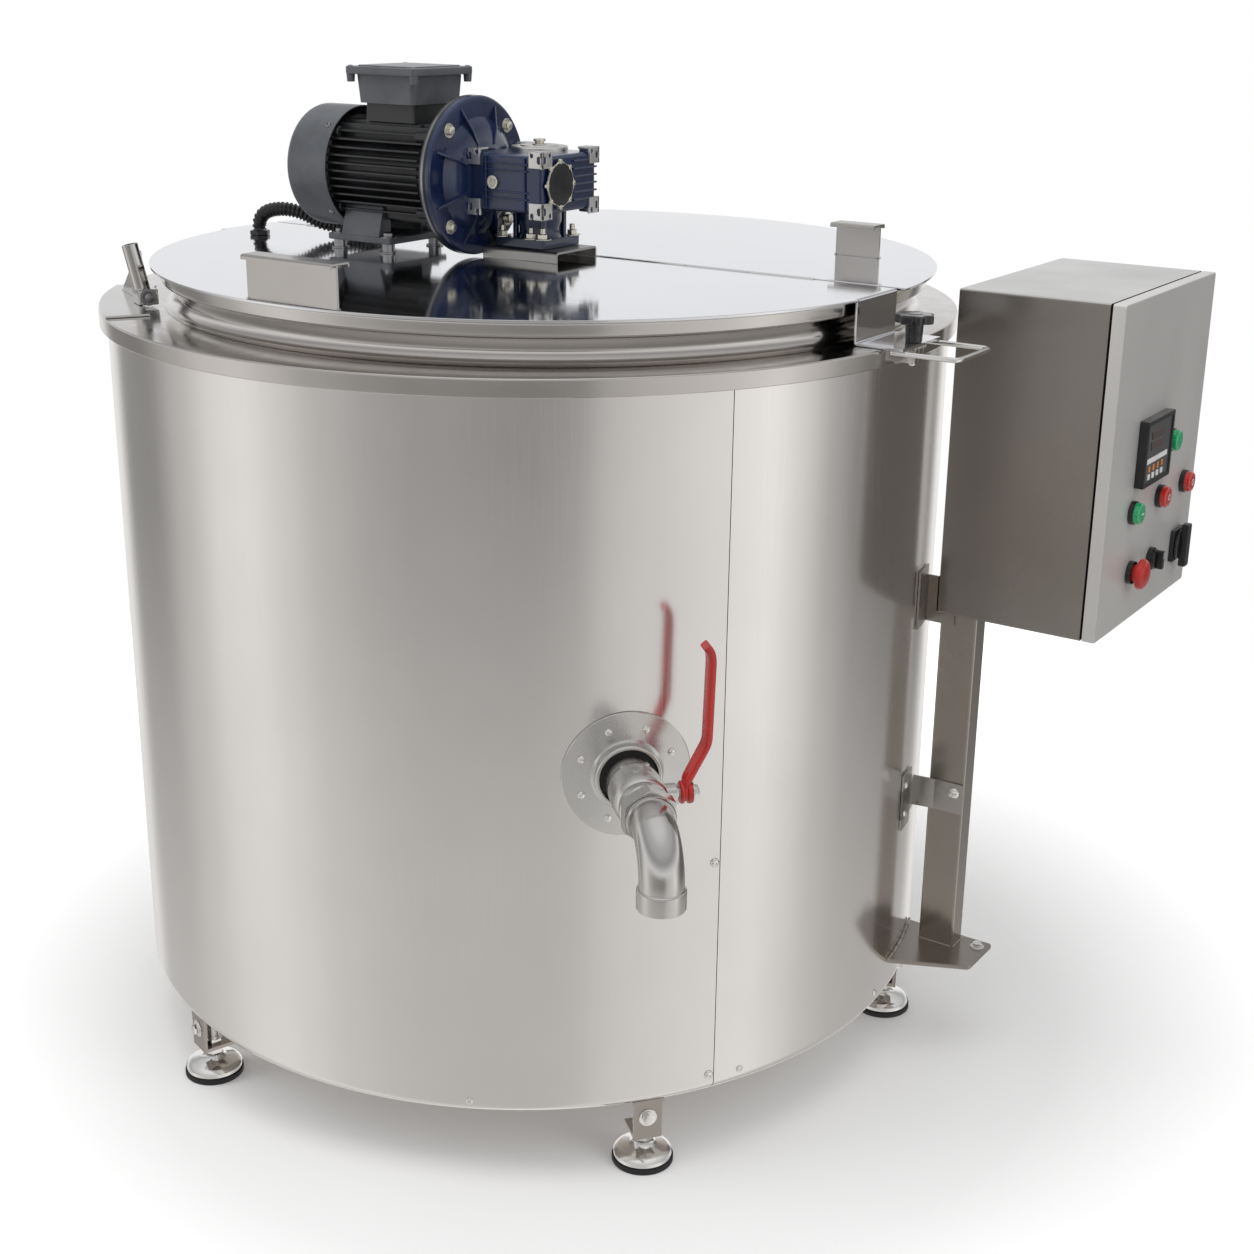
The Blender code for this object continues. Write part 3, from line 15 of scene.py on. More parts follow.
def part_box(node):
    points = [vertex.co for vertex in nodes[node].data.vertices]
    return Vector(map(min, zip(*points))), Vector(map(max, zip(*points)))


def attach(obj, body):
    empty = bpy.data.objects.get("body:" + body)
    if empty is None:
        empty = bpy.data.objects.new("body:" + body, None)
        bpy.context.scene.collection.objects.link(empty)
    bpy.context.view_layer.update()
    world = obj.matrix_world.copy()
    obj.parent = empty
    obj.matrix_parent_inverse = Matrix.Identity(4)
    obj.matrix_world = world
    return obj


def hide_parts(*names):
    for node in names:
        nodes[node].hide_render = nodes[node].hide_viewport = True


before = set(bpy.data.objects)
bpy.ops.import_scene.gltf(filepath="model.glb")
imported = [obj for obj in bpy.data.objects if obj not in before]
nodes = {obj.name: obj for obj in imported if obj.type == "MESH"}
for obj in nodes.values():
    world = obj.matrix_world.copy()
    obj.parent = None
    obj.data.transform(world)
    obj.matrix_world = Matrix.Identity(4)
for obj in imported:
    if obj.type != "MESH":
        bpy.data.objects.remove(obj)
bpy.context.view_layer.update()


def centre_of(node):
    low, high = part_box(node)
    return (low + high) / 2


TANK_X = centre_of("outer_shell").x

# shell, rim and vessel
SHELL_R = 0.540
SHELL_BOTTOM = 0.095
SHELL_TOP = 0.965
SHELL_EDGE = 0.015
SEAM_ANGLE = -30.0
RIM_R = 0.5496
RIM_TOP = 0.986
VESSEL_X = 0.018
VESSEL_Y = 0.006
NECK_R = 0.471
BEAD_R = 0.489
NECK_TOP = 1.036
FLOOR_EDGE = 0.625
FLOOR_CENTRE = 0.578
DRAIN_R = 0.019

# lid
LID_R = 0.5015
LID_BOTTOM = 1.0363
LID_SHEET = 0.003
LID_TOP = LID_BOTTOM + LID_SHEET
SEAM_Y = 0.028
SEAM_HALF = 0.003
FLAP_AXIS_Z = LID_TOP - 0.001
HINGE_X = -0.500
HINGE_Z = 1.025
TONGUE_Y = -0.025
TONGUE_WIDTH = 0.100
TONGUE_X = 0.508
TONGUE_END = 0.570
KNOB_X = 0.559

FRONT_LID = "front_lid_assembly"    # the body that carries the drive

# drive
DRIVE_X = 0.030
DRIVE_Y = -0.025
WORM_Y = -0.070
WORM_Z = 1.1405
CHANNEL_LOW = (-0.0320, -0.064)
CHANNEL_HIGH = (0.084, 0.0245)
CHANNEL_TOP = LID_TOP + 0.014
GEAR_LOW = (-0.0235, -0.106, 1.0970)
GEAR_HIGH = (0.0935, 0.016, 1.1785)
BASE_LOW = (-0.018, -0.057)
BASE_HIGH = (0.060, 0.0220)
FLANGE_FACE = -0.0405
FLANGE_R = 0.098
TERMINAL_X = FLANGE_FACE - 0.101
MOTOR_END = -0.241
RIB_R = 0.0700
RIB_ROOT = 0.0550
RIB_PITCH = 0.0098
RIB_HALF = 0.0013
COVER_END = -0.293
COVER_START = -0.221
COVER_R = 0.078

# outlet, measured from the vessel axis outwards
OUTLET_Z = 0.533
OUTLET_TURN = radians(-44.3)
SHELL_X = 0.5312
ROSETTE_R = 0.0750
ROSETTE_BORE = 0.0335
VALVE_X = 0.592
ELBOW_PIPE_R = 0.0245
ELBOW_BORE = 0.0221
ELBOW_DROP = 0.076
ELBOW_X = 0.661
ELBOW_R = 0.050

# feet, column and cabinet
FOOT_CIRCLE = 0.510
FOOT_ANGLES = [radians(a) for a in (21.0, 97.0, 173.0, 249.7, 321.3)]
COLUMN_LOW = (0.545, 0.137)
COLUMN_HIGH = (0.595, 0.167)
COLUMN_BASE_TOP = 0.150
CABINET_LOW = (0.543, 0.130, 0.617)
CABINET_HIGH = (0.7325, 0.462, 1.030)
DOOR_BACK = 0.7355
DOOR_FRONT = 0.7515
CONTROL_SEAT = DOOR_FRONT + 0.0002
BEZEL_FRONT = DOOR_FRONT + 0.0065
BEZEL_R = 0.0148
BEZEL_DEEP = 0.0063
KEY_PITCH = 0.0155

# camera, seen from the tank axis
CAMERA_AT = (1.4728, -1.9904, 1.381)
CAMERA_HEADING = radians(36.5 - 2.98)
CAMERA_PITCH = radians(-19.07)
CAMERA_ROLL = radians(0.71)
CAMERA_LENS = 54.06

ROUND = 192                       # sides of the large rings
GAP = 0.0003                      # air between pieces that rest on each other


# ---------------------------------------------------------------- materials

def shader_nodes(name):
    made = bpy.data.materials.new(name)
    made.use_nodes = True
    tree = made.node_tree
    return made, tree, tree.nodes["Principled BSDF"]


def texture(tree, kind, scale, stretch=(1, 1, 1), detail=3.0):
    """A procedural texture on the piece's own coordinates, stretched per axis."""
    place = tree.nodes.new("ShaderNodeTexCoord")
    shape = tree.nodes.new("ShaderNodeMapping")
    shape.inputs["Scale"].default_value = stretch
    made = tree.nodes.new(kind)
    made.inputs["Scale"].default_value = scale
    if "Detail" in made.inputs:
        made.inputs["Detail"].default_value = detail
    tree.links.new(place.outputs["Object"], shape.inputs["Vector"])
    tree.links.new(shape.outputs["Vector"], made.inputs["Vector"])
    return made.outputs[0]


def spread(tree, value, low, high, start=0.3, end=0.7):
    """Maps a texture's middle range onto low..high."""
    made = tree.nodes.new("ShaderNodeMapRange")
    made.inputs["From Min"].default_value = start
    made.inputs["From Max"].default_value = end
    made.inputs["To Min"].default_value = low
    made.inputs["To Max"].default_value = high
    tree.links.new(value, made.inputs["Value"])
    return made.outputs["Result"]


def blend_colours(tree, value, dark, light):
    ramp = tree.nodes.new("ShaderNodeValToRGB")
    ramp.color_ramp.elements[0].position = 0.35
    ramp.color_ramp.elements[1].position = 0.65
    ramp.color_ramp.elements[0].color = (*dark, 1.0)
    ramp.color_ramp.elements[1].color = (*light, 1.0)
    tree.links.new(value, ramp.inputs["Fac"])
    return ramp.outputs["Color"]


def add_bump(tree, shader, height, strength, distance):
    bump = tree.nodes.new("ShaderNodeBump")
    bump.inputs["Strength"].default_value = strength
    bump.inputs["Distance"].default_value = distance
    tree.links.new(height, bump.inputs["Height"])
    tree.links.new(bump.outputs["Normal"], shader.inputs["Normal"])


def steel(name, colour, roughness, brush, grain=0.06, spots=0.03):
    """Stainless steel, brushed along the axis where brush is small."""
    made, tree, shader = shader_nodes(name)
    shader.inputs["Metallic"].default_value = 1.0
    strokes = texture(tree, "ShaderNodeTexNoise", 1.0, brush, 4.0)
    clouds = texture(tree, "ShaderNodeTexNoise", 6.0, detail=4.0)
    dark = [c * (1.0 - spots) for c in colour]
    light = [min(1.0, c * (1.0 + spots)) for c in colour]
    tree.links.new(blend_colours(tree, clouds, dark, light), shader.inputs["Base Color"])
    tree.links.new(spread(tree, strokes, roughness - 0.04, roughness + 0.05),
                   shader.inputs["Roughness"])
    if grain:
        add_bump(tree, shader, strokes, grain, 0.0003)
    return made


def paint(name, colour, roughness, coat=0.0, texture_scale=900.0, grain=0.08):
    """Sprayed paint or moulded plastic with a fine skin and uneven gloss."""
    made, tree, shader = shader_nodes(name)
    skin = texture(tree, "ShaderNodeTexNoise", texture_scale, detail=2.0)
    clouds = texture(tree, "ShaderNodeTexNoise", 25.0, detail=5.0)
    dark = [c * 0.80 for c in colour]
    light = [min(1.0, c * 1.15) for c in colour]
    tree.links.new(blend_colours(tree, clouds, dark, light), shader.inputs["Base Color"])
    tree.links.new(spread(tree, clouds, roughness - 0.06, roughness + 0.08),
                   shader.inputs["Roughness"])
    shader.inputs["Coat Weight"].default_value = coat
    shader.inputs["Coat Roughness"].default_value = 0.12
    add_bump(tree, shader, skin, grain, 0.0002)
    return made


def paint_top_light(made, colour):
    """Paints the faces that look up a lighter colour, as painted light from above."""
    tree = made.node_tree
    base = tree.nodes["Principled BSDF"].inputs["Base Color"]
    facing = tree.nodes.new("ShaderNodeNewGeometry")
    split = tree.nodes.new("ShaderNodeSeparateXYZ")
    mixed = tree.nodes.new("ShaderNodeMixRGB")
    mixed.inputs["Color2"].default_value = (*colour, 1.0)
    tree.links.new(facing.outputs["Normal"], split.inputs["Vector"])
    tree.links.new(spread(tree, split.outputs["Z"], 0.0, 1.0, 0.4, 0.9), mixed.inputs["Fac"])
    tree.links.new(base.links[0].from_socket, mixed.inputs["Color1"])
    tree.links.new(mixed.outputs["Color"], base)


WARM = (0.795, 0.775, 0.755)
SHELL_STEEL = steel("shell_steel", WARM, 0.17, (900, 900, 9), 0.020, 0.02)
RIM_STEEL = steel("rim_steel", (0.60, 0.575, 0.55), 0.15, (40, 40, 1500), 0.015, 0.03)
LID_STEEL = steel("lid_steel", (0.79, 0.795, 0.815), 0.08, (6, 1200, 1200), 0.008, 0.015)
PLATE_STEEL = steel("plate_steel", (0.50, 0.48, 0.455), 0.24, (8, 8, 8), 0.0, 0.04)
CABINET_STEEL = steel("cabinet_steel", (0.31, 0.285, 0.26), 0.25, (5, 5, 2), 0.0, 0.05)
DOOR_STEEL = steel("door_steel", (0.66, 0.645, 0.625), 0.34, (5, 5, 2), 0.0, 0.03)
DOOR_STEEL.node_tree.nodes["Principled BSDF"].inputs["Metallic"].default_value = 0.45
# the cabinet's top faces are painted lighter than its darker sides: painted light from above
paint_top_light(CABINET_STEEL, (0.72, 0.71, 0.69))
COLUMN_STEEL = steel("column_steel", (0.40, 0.365, 0.33), 0.24, (8, 8, 3), 0.0, 0.04)
CAST_STEEL = steel("cast_steel", (0.66, 0.65, 0.63), 0.24, (1400, 1400, 1400), 0.06, 0.04)
PIPE_STEEL = steel("pipe_steel", (0.60, 0.585, 0.565), 0.15, (900, 900, 900), 0.012, 0.04)
BRIGHT_STEEL = steel("bright_steel", (0.84, 0.83, 0.81), 0.13, (500, 500, 500), 0.01, 0.03)
CHANNEL_STEEL = steel("channel_steel", (0.40, 0.39, 0.37), 0.34, (9, 500, 500), 0.06, 0.10)
ZINC = steel("zinc", (0.78, 0.75, 0.66), 0.28, (500, 500, 500), 0.05, 0.10)
LUG_ALUMINIUM = steel("machined_aluminium", (0.72, 0.71, 0.69), 0.34, (900, 60, 900), 0.08, 0.08)
CREAM = steel("cover_ring", (0.80, 0.76, 0.66), 0.36, (600, 600, 600), 0.05, 0.05)
# black for the shade seen through the shell's seam: painted shade
SEAM_SHADE_BLACK = paint("painted_seam_shade", (0.006, 0.006, 0.006), 0.60)
NAVY = paint("navy_paint", (0.003, 0.013, 0.055), 0.28, 0.7, 700.0, 0.06)
MOTOR_GREY = paint("motor_paint", (0.020, 0.021, 0.023), 0.42, 0.15, 900.0, 0.10)
COVER_GREY = paint("cover_paint", (0.085, 0.091, 0.102), 0.36, 0.2, 1100.0, 0.06)
RED_SLEEVE = paint("red_sleeve", (0.47, 0.010, 0.006), 0.25, 0.5, 260.0, 0.04)
BLACK_PLASTIC = paint("black_plastic", (0.010, 0.010, 0.011), 0.32, 0.1)
KNOB_BLACK = paint("knob_black", (0.008, 0.008, 0.009), 0.16, 0.5, 1500.0, 0.03)
RUBBER = paint("black_rubber", (0.012, 0.012, 0.012), 0.62)
FOAM = paint("yellow_foam", (0.62, 0.48, 0.20), 0.90, 0.0, 300.0, 0.5)
COPPER = steel("copper", (0.80, 0.42, 0.26), 0.25, (200, 200, 200), 0.03, 0.10)
BRONZE = steel("bronze", (0.66, 0.45, 0.20), 0.30, (300, 300, 300), 0.05, 0.06)
DARK_STEEL = steel("machined_steel", (0.32, 0.32, 0.33), 0.30, (300, 300, 300), 0.05, 0.06)
E_STOP_RED = paint("e_stop_red", (0.50, 0.014, 0.008), 0.33, 0.2, 900.0, 0.03)
PRINT_WHITE = paint("print_white", (0.75, 0.75, 0.74), 0.55)
PRINT_ORANGE = paint("print_orange", (0.60, 0.22, 0.06), 0.50)
PANEL_GREY = paint("panel_grey", (0.060, 0.062, 0.066), 0.24, 0.4)
DISPLAY = paint("display_window", (0.055, 0.024, 0.022), 0.12, 0.6, 1200.0, 0.01)


def lens(name, colour):
    """Tinted clear plastic of a push button or lamp, with a faint painted glow."""
    made, tree, shader = shader_nodes(name)
    ribs = texture(tree, "ShaderNodeTexNoise", 350.0, detail=2.0)
    dark = [c * 0.70 for c in colour]
    light = [min(1.0, c * 1.30) for c in colour]
    tree.links.new(blend_colours(tree, ribs, dark, light), shader.inputs["Base Color"])
    shader.inputs["Roughness"].default_value = 0.14
    shader.inputs["Coat Weight"].default_value = 0.6
    shader.inputs["Coat Roughness"].default_value = 0.05
    # a faint emission on every lens, the push buttons too: painted glow
    shader.inputs["Emission Color"].default_value = (*colour, 1.0)
    shader.inputs["Emission Strength"].default_value = 0.12
    return made


GREEN_LENS = lens("green_lens", (0.012, 0.300, 0.110))
RED_LENS = lens("red_lens", (0.420, 0.018, 0.014))


# ---------------------------------------------------------------- mesh tools

class Shape:
    """A mesh under construction, in the tank's own coordinates."""

    def __init__(self):
        self.mesh = bmesh.new()

    def add(self, part, place=None):
        """Moves a finished primitive to its place and adds it."""
        if place is not None:
            bmesh.ops.transform(part, matrix=place, verts=part.verts)
        holder = bpy.data.meshes.new("part")
        part.to_mesh(holder)
        part.free()
        self.mesh.from_mesh(holder)
        bpy.data.meshes.remove(holder)
        return self

    def box(self, low, high, bevel=0.0, place=None, segments=2):
        part = bmesh.new()
        made = bmesh.ops.create_cube(part, size=1.0)["verts"]
        size = [b - a for a, b in zip(low, high)]
        middle = [(a + b) / 2 for a, b in zip(low, high)]
        bmesh.ops.scale(part, vec=size, verts=made)
        bmesh.ops.translate(part, vec=middle, verts=made)
        if bevel:
            bmesh.ops.bevel(part, geom=list(part.edges), offset=bevel, segments=segments,
                            profile=0.5, affect="EDGES", clamp_overlap=True)
        return self.add(part, place)

    def lathe(self, profile, sides=48, place=None, start=0.0, turn=360.0):
        """Turns (radius, height) points about Z.  The profile runs down the outer side, and is
        closed into a ring unless it starts on the axis."""
        part = bmesh.new()
        full = turn >= 359.999
        steps = sides if full else max(2, round(sides * turn / 360.0))
        ring = profile[0][0] > 1e-9
        columns = []
        hub = {}
        for i in range(steps if full else steps + 1):
            angle = radians(start + turn * i / steps)
            column = []
            for n, (r, z) in enumerate(profile):
                if r < 1e-9:
                    if n not in hub:
                        hub[n] = part.verts.new((0.0, 0.0, z))
                    column.append(hub[n])
                else:
                    column.append(part.verts.new((r * cos(angle), r * sin(angle), z)))
            columns.append(column)
        count = len(profile)
        pairs = [(n, (n + 1) % count) for n in range(count if ring else count - 1)]
        last = len(columns) if full else len(columns) - 1
        for i in range(last):
            here, there = columns[i], columns[(i + 1) % len(columns)]
            for a, b in pairs:
                corners = []
                for corner in (here[a], here[b], there[b], there[a]):
                    if corner not in corners:
                        corners.append(corner)
                if len(corners) > 2:
                    part.faces.new(corners)
        if not full and ring:
            part.faces.new(columns[0][::-1])
            part.faces.new(columns[-1])
        return self.add(part, place)

    def prism(self, outline, thickness, place=None, bevel=0.0, holes=()):
        """A flat plate with rounded rims and holes, thickness centred on its own plane."""
        curve = bpy.data.curves.new("outline", "CURVE")
        curve.dimensions = "2D"
        curve.fill_mode = "BOTH"
        curve.extrude = max(thickness / 2 - bevel, 0.00001)
        curve.bevel_depth = bevel
        curve.bevel_resolution = 1
        curve.offset = -bevel
        for points in [outline, *holes]:
            spline = curve.splines.new("POLY")
            spline.points.add(len(points) - 1)
            for point, (x, y) in zip(spline.points, points):
                point.co = (x, y, 0.0, 1.0)
            spline.use_cyclic_u = True
        guide = bpy.data.objects.new("outline", curve)
        bpy.context.scene.collection.objects.link(guide)
        graph = bpy.context.evaluated_depsgraph_get()
        mesh = bpy.data.meshes.new_from_object(guide.evaluated_get(graph))
        part = bmesh.new()
        part.from_mesh(mesh)
        bmesh.ops.remove_doubles(part, verts=part.verts, dist=0.00001)
        bmesh.ops.recalc_face_normals(part, faces=part.faces)
        bpy.data.objects.remove(guide)
        bpy.data.curves.remove(curve)
        bpy.data.meshes.remove(mesh)
        return self.add(part, place)

    def sweep(self, path, section, scales=None, up=(0, 0, 1)):
        """Carries an (across, up) section along a path, and closes both ends."""
        path = [Vector(p) for p in path]
        rings = []
        side = None
        for i, point in enumerate(path):
            after = path[i + 1] if i < len(path) - 1 else point
            before = path[i - 1] if i else point
            along = (after - before).normalized()
            if side is None:
                side = along.cross(Vector(up))
                if side.length < 1e-6:
                    side = along.cross(Vector((1, 0, 0)))
            side = (side - along * side.dot(along)).normalized()
            high = side.cross(along)
            scale = scales[i] if scales else 1.0
            if 0 < i < len(path) - 1:
                bend = (point - before).normalized().dot((after - point).normalized())
                mitre = 1.0 / max(sqrt(max((1 + bend) / 2, 0.1)), 0.5)
            else:
                mitre = 1.0
            turn_axis = (point - before).cross(after - point)
            ring = []
            for a, b in section:
                offset = side * a * scale + high * b * scale
                if mitre > 1.001 and turn_axis.length > 1e-12:
                    outward = along.cross(turn_axis.normalized())
                    offset = offset + outward * offset.dot(outward) * (mitre - 1.0)
                ring.append(self.mesh.verts.new(point + offset))
            rings.append(ring)
        return self.bridge(rings)

    def tube(self, path, radius, sides, scales=None):
        return self.sweep(path, circle(radius, sides), scales)

    def row(self, points):
        return [self.mesh.verts.new(point) for point in points]

    def bridge(self, rows, closed=False):
        """Joins rows of corners with faces: round to the first row, or with a face at each end."""
        count = len(rows[0])
        for here, there in zip(rows, rows[1:] + rows[:1] if closed else rows[1:]):
            for i in range(count):
                j = (i + 1) % count
                self.mesh.faces.new((here[i], here[j], there[j], there[i]))
        if not closed:
            self.mesh.faces.new(rows[0][::-1])
            self.mesh.faces.new(rows[-1])
        return self

    def piece(self, name, body, slot, material, replaces=(), sharp=32, soften=True):
        """Makes the object, with smooth shading and crisp edges, and lets it ride."""
        bmesh.ops.recalc_face_normals(self.mesh, faces=self.mesh.faces)
        data = bpy.data.meshes.new(name)
        self.mesh.to_mesh(data)
        self.mesh.free()
        data.materials.append(material)
        data.shade_smooth()
        data.set_sharp_from_angle(angle=radians(sharp))
        made = bpy.data.objects.new(name, data)
        bpy.context.scene.collection.objects.link(made)
        made.location = (TANK_X, 0.0, 0.0)
        bpy.context.view_layer.update()
        if soften:
            even = made.modifiers.new("even_normals", "WEIGHTED_NORMAL")
            even.keep_sharp = True
        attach(made, body)
        if replaces:
            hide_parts(*replaces)
        return made


def circle(radius, sides, wave=0.0, lobes=0, centre=(0.0, 0.0)):
    points = []
    for i in range(sides):
        turn = 2 * pi * i / sides
        reach = radius + wave * cos(lobes * turn)
        points.append((centre[0] + reach * cos(turn), centre[1] + reach * sin(turn)))
    return points


def hexagon(across):
    """A hexagon by its width across the flats."""
    return circle(across / 2 / cos(pi / 6), 6)


def rounded(low, high, radius, steps=4):
    """The outline of a rectangle with round corners."""
    corners = [((high[0] - radius, high[1] - radius), 0), ((low[0] + radius, high[1] - radius), 90),
               ((low[0] + radius, low[1] + radius), 180), ((high[0] - radius, low[1] + radius), 270)]
    points = []
    for centre, start in corners:
        points += arc(centre, radius, start, start + 90, steps)
    return points


def pad(x, y, half_x, half_y, radius):
    """The outline of a rounded rectangle around its centre."""
    return rounded((x - half_x, y - half_y), (x + half_x, y + half_y), radius)


def arc(centre, radius, start, end, steps=6):
    """Points along an arc, angles in degrees."""
    angles = [radians(start + (end - start) * i / steps) for i in range(steps + 1)]
    return [(centre[0] + radius * cos(a), centre[1] + radius * sin(a)) for a in angles]


def ribbon(line, thickness, radius=0.0):
    """The outline of a folded sheet, its line being the middle of the sheet; bends rounded."""
    if radius:
        line = round_bends(line, radius)
    left, right = [], []
    for i, point in enumerate(line):
        here = Vector(point)
        along_in = (here - Vector(line[i - 1])).normalized() if i else None
        along_out = (Vector(line[i + 1]) - here).normalized() if i < len(line) - 1 else along_in
        along_in = along_in or along_out
        across = Vector((-(along_in + along_out).y, (along_in + along_out).x)).normalized()
        reach = thickness / 2 / max(across.dot(Vector((-along_in.y, along_in.x))), 0.3)
        left.append(tuple(here + across * reach))
        right.append(tuple(here - across * reach))
    return left + right[::-1]


def round_bends(line, radius, steps=5):
    """Swaps each inner corner of a line for a short curve, in any number of dimensions."""
    line = [Vector(p) for p in line]
    made = [line[0]]
    for before, corner, after in zip(line, line[1:], line[2:]):
        reach = min(radius, (corner - before).length * 0.49, (after - corner).length * 0.49)
        start = corner + (before - corner).normalized() * reach
        end = corner + (after - corner).normalized() * reach
        for i in range(steps + 1):
            t = i / steps
            made.append(start * (1 - t) ** 2 + corner * 2 * t * (1 - t) + end * t ** 2)
    made.append(line[-1])
    return [tuple(p) for p in made]


def aim(point, direction):
    """Puts a shape made along +Z at a point, facing a direction."""
    turn = Vector((0, 0, 1)).rotation_difference(Vector(direction)).to_matrix().to_4x4()
    return Matrix.Translation(point) @ turn


def on_worm(x):
    """Places a shape made along +Z on the worm's axis, facing +X."""
    return aim((x, WORM_Y, WORM_Z), (1, 0, 0))


def plane_x(x):
    """Places a flat outline (y, z) at this x."""
    return Matrix(((0, 0, 1, x), (1, 0, 0, 0), (0, 1, 0, 0), (0, 0, 0, 1)))


def plane_y(y):
    """Places a flat outline (x, z) at this y."""
    return Matrix(((1, 0, 0, 0), (0, 0, -1, y), (0, 1, 0, 0), (0, 0, 0, 1)))


def plane_z(z):
    return Matrix.Translation((0.0, 0.0, z))


def smooth_path(points, step):
    """Evenly spaced points on a smooth curve through a route's own points."""
    points = [Vector(p) for p in points]
    guide = [points[0] * 2 - points[1]] + points + [points[-1] * 2 - points[-2]]
    fine = []
    for a, b, c, d in zip(guide, guide[1:], guide[2:], guide[3:]):
        for i in range(24):
            t = i / 24
            fine.append(0.5 * (2 * b + (c - a) * t + (2 * a - 5 * b + 4 * c - d) * t * t
                               + (3 * b - a - 3 * c + d) * t ** 3))
    fine.append(points[-1])
    lengths = [0.0]
    for a, b in zip(fine, fine[1:]):
        lengths.append(lengths[-1] + (b - a).length)
    count = round(lengths[-1] / step)
    even, index = [], 0
    for i in range(count):
        target = lengths[-1] * i / count
        while lengths[index + 1] < target:
            index += 1
        part = (target - lengths[index]) / max(lengths[index + 1] - lengths[index], 1e-9)
        even.append(fine[index].lerp(fine[index + 1], part))
    return even + [fine[-1]]


# ---------------------------------------------------------------- fasteners

def hex_head(shape, place, across, height, washer=True):
    """A hexagon head or nut with its chamfer, on a washer, facing +Z of its place."""
    low = 0.0
    if washer:
        thick = across * 0.11
        shape.lathe([(0, thick), (across * 0.92, thick), (across * 0.96, thick * 0.6),
                     (across * 0.96, 0), (0, 0)], 28, place)
        low = thick
    reach = across / 2 / cos(pi / 6)
    shape.prism(hexagon(across), height * 0.9, place @ plane_z(low + height * 0.45), 0.0)
    shape.lathe([(0, low + height), (across * 0.44, low + height), (reach, low + height * 0.88),
                 (reach * 0.8, low + height * 0.80), (0, low + height * 0.80)], 24, place)


def pan_head(shape, place, radius, height):
    """A domed screw head with a recess."""
    shape.lathe([(0, height * 0.55), (radius * 0.26, height * 0.55), (radius * 0.30, height * 0.97)]
                + [(radius * cos(radians(a)) ** 0.8, height * sin(radians(a)))
                   for a in (66, 50, 34, 18, 0)] + [(radius * 0.98, 0), (0, 0)], 24, place)


# ---------------------------------------------------------------- tank skins

def build_shell():
    edge = SHELL_EDGE
    low = SHELL_BOTTOM
    outer = arc((SHELL_R - edge, low + edge), edge, 0, -90, 10)
    inner = arc((SHELL_R - edge, low + edge), edge - 0.002, -90, 0, 10)
    profile = [(SHELL_R - 0.0004, SHELL_TOP), (SHELL_R, SHELL_TOP - 0.0004)] + outer
    profile += [(SHELL_R - 0.045, low), (SHELL_R - 0.045, low + 0.002)] + inner
    profile += [(SHELL_R - 0.002, SHELL_TOP)]
    gap = math.degrees(0.0005 / SHELL_R)
    Shape().lathe(profile, ROUND, None, SEAM_ANGLE + gap, 360 - 2 * gap).piece(
        "shell_skin", "tank", "steel", SHELL_STEEL, ["outer_shell"], 40, False)
    # a black strip just inside the shell, seen through the seam's gap: painted shade in the seam
    strip = Shape().lathe([(SHELL_R - 0.0024, SHELL_TOP), (SHELL_R - 0.0024, low + 0.020),
                           (SHELL_R - 0.0034, low + 0.020), (SHELL_R - 0.0034, SHELL_TOP)],
                          2000, None, SEAM_ANGLE - 1.2, 2.4)
    strip.piece("seam_shade_strip", "tank", "steel", SEAM_SHADE_BLACK)

    screws = Shape()
    for angle, z, radius in ((-30.75, 0.405, 0.0058), (-30.75, 0.120, 0.0058),
                             (-26.1, 0.116, 0.0045), (-62.0, 0.112, 0.0045),
                             (2.0, 0.118, 0.0045)):
        out = Vector((cos(radians(angle)), sin(radians(angle)), 0.0))
        pan_head(screws, aim(out * (SHELL_R + 0.0001) + Vector((0, 0, z)), out), radius,
                 radius * 0.55)
    screws.piece("shell_screws", "tank", "bright_steel", BRIGHT_STEEL)


def build_rim():
    """Band and flat top, whose inner edge follows the vessel's own centre."""
    rim = Shape()
    rows = []
    band = [(RIM_R - 0.010, 0.9655), (RIM_R - 0.0008, 0.9653), (RIM_R, 0.9661)]
    band += [(RIM_R, RIM_TOP - 0.0022)] + arc((RIM_R - 0.0022, RIM_TOP - 0.0022), 0.0022, 15, 90, 5)
    under = [(NECK_R + 0.0004, RIM_TOP - 0.002, True), (RIM_R - 0.002, RIM_TOP - 0.003, False),
             (RIM_R - 0.002, 0.9670, False), (RIM_R - 0.010, 0.9670, False)]
    stations = [(r, z, False) for r, z in band] + [(NECK_R + 0.0004, RIM_TOP, True)] + under
    for r, z, follows_vessel in stations:
        x, y = (VESSEL_X, VESSEL_Y) if follows_vessel else (0.0, 0.0)
        rows.append(rim.row((x + a, y + b, z) for a, b in circle(r, ROUND)))
    rim.bridge(rows, True)
    root, end = 0.546, TONGUE_END - 0.001
    for x0, x1, y0, y1, bevel in (
            (root, end, -0.015, -0.0058, 0.0008), (root, end, 0.0058, 0.015, 0.0008),
            (root, KNOB_X - 0.0058, -0.0060, 0.0060, 0.0004),
            (KNOB_X + 0.0058, end, -0.0060, 0.0060, 0.0004)):
        rim.box((x0, TONGUE_Y + y0, 0.967), (x1, TONGUE_Y + y1, RIM_TOP), bevel)
    rim.piece("rim_band", "tank", "steel", RIM_STEEL, ["top_rim"], 40, False)


